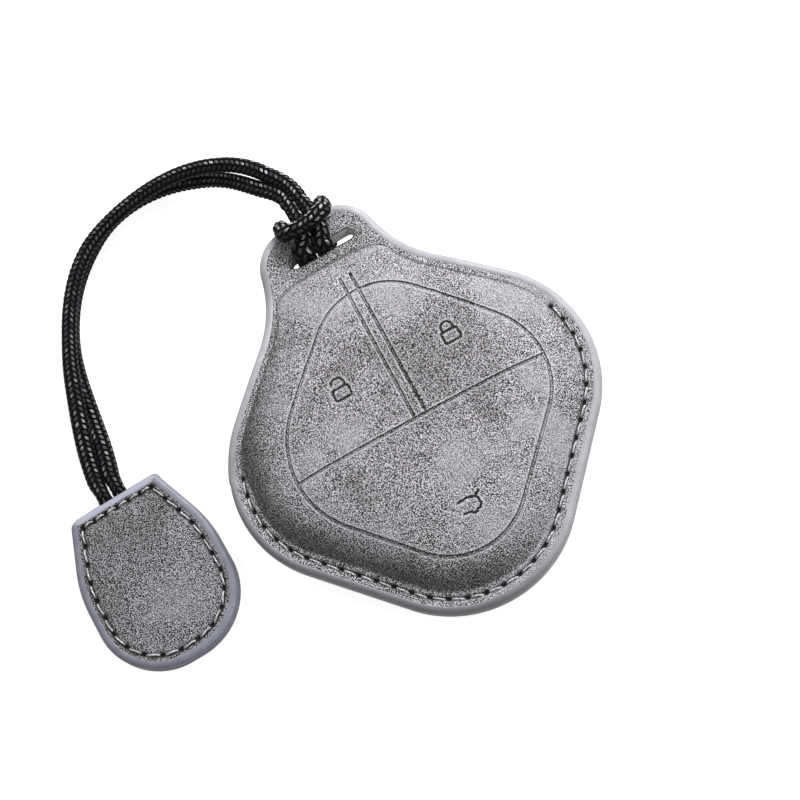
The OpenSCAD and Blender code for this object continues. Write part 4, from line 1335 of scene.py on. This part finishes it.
def tag_paint(name, side):
    """Bead round one face of the tag; the back one stands out further along the top edge."""
    rows, half = tag_rows(TAG_ROWS), TAG_T / 4
    mid = TAG_T / 2 + side * half
    top_edge = ramp((rows[:, 1] + 1.2) / 1.2)
    pull = (0.22 if side > 0 else -0.55) * top_edge
    # The tag's beads get painted shade round the outside and towards the left
    points, faces, fields = bead(rows, np.full(len(rows), mid), half, pull, [-0.45, -0.1], is_loop=True)
    points[:, 2] = np.maximum(points[:, 2], 0)
    top = np.repeat(top_edge, len(points) // len(rows))
    if side > 0:
        # Painted highlight along the top of the front bead's top edge
        fields["outer"] = fields["outer"] - 0.55 * top * ramp((points[:, 2] - mid) / 0.5)
    else:
        # Painted shade along the line where the front bead rests on the back one
        touch = bell(points[:, 1] - 0.2, 0.14) * (points[:, 2] > mid) * top
        fields["outer"] = np.maximum(fields["outer"], 1.6 * touch)
    points[:, :2] = tag_point(points[:, 0], points[:, 1])
    return new_piece(name, points, faces, fields)


def make_tag():
    sides = ("front", 1), ("back", -1)
    for word, side in sides:
        dress(tag_face(f"tag_{word}_leather", side), TAG_NUBUCK, "leather", "tag", [f"tag_{word}"])
    for word, side in sides:
        dress(tag_paint(f"tag_{word}_paint", side), TAG_PAINT, "edge_paint", "tag", ["tag_edge_coat"])
    for (word, side), height in zip(sides, (TAG_T + 0.12, 0.38)):
        piece = stitches(f"tag_{word}_stitches", tag_point(*TAG_HOLES.T), height, side, -1.0)
        dress(piece, THREAD, "cord", "tag")
    core = bpy.data.objects["tag_core"]
    core.data.materials.clear()
    core.data.materials.append(LEATHERBOARD)


make_tag()


# Floor, lamps and world

def seen_directly(tree):
    """1 for what the camera sees straight, in a mirror or through glass, 0 for the light on the object."""
    seen = add_node(tree, "ShaderNodeLightPath").outputs
    factor = Pattern(tree, seen["Is Camera Ray"]).sums("MAXIMUM", seen["Is Glossy Ray"])
    return factor.sums("MAXIMUM", seen["Is Transmission Ray"])


def make_floor():
    """Pale floor that keeps the shadow; what the camera sees of it is lifted to white."""
    half_w, z = 900.0, -0.02
    points = np.array([[-half_w, -half_w, z], [half_w, -half_w, z], [half_w, half_w, z], [-half_w, half_w, z]])
    floor = new_piece("floor", points, [np.array([[0, 1, 2, 3]])])
    finish = Finish("floor_white", Roughness=0.9, Specular_IOR_Level=0.1, Base_Color=(0.5, 0.5, 0.505, 1))
    tree, lift = finish.tree, seen_directly(finish.tree) * 0.86
    glow = add_node(tree, "ShaderNodeEmission", {"Color": (1, 1, 1, 1), "Strength": lift.socket})
    both = add_node(tree, "ShaderNodeAddShader", {0: finish.shader.outputs[0], 1: glow.outputs[0]})
    tree.links.new(both.outputs[0], tree.nodes["Material Output"].inputs["Surface"])
    floor.data.materials.append(finish.material)


def make_world():
    world = bpy.data.worlds.new("studio")
    world.use_nodes = True
    tree = world.node_tree
    light = tree.nodes["Background"]
    light.inputs["Color"].default_value = (0.97, 0.98, 1.0, 1)
    light.inputs["Strength"].default_value = 0.18
    white = add_node(tree, "ShaderNodeBackground", {"Color": (1, 1, 1, 1), "Strength": 1.0})
    both = {0: seen_directly(tree).socket, 1: light.outputs[0], 2: white.outputs[0]}
    mixed = add_node(tree, "ShaderNodeMixShader", both)
    tree.links.new(mixed.outputs[0], tree.nodes["World Output"].inputs["Surface"])
    bpy.context.scene.world = world


def make_lamp(name, azimuth, elevation, size, power, distance=600):
    """A square soft lamp that looks at the cover's middle; azimuth counts from +X towards +Y."""
    data = bpy.data.lights.new(name, "AREA")
    data.shape, data.size, data.energy = "SQUARE", size * MM, power
    lamp = place_object(name, data)
    (ca, sa), (ce, se) = cos_sin(azimuth), cos_sin(elevation)
    away = Vector((ca * ce, sa * ce, se))
    lamp.location = CAMERA_TARGET + away * distance * MM
    lamp.rotation_mode = "QUATERNION"
    lamp.rotation_quaternion = away.to_track_quat("Z", "Y")


make_floor()
make_world()
make_lamp("key", 47, 38, 320, 4.0)
make_lamp("left", 145, 52, 260, 0.7)
make_lamp("right", -35, 34, 260, 1.15)
bpy.context.scene.view_settings.view_transform = "Standard"
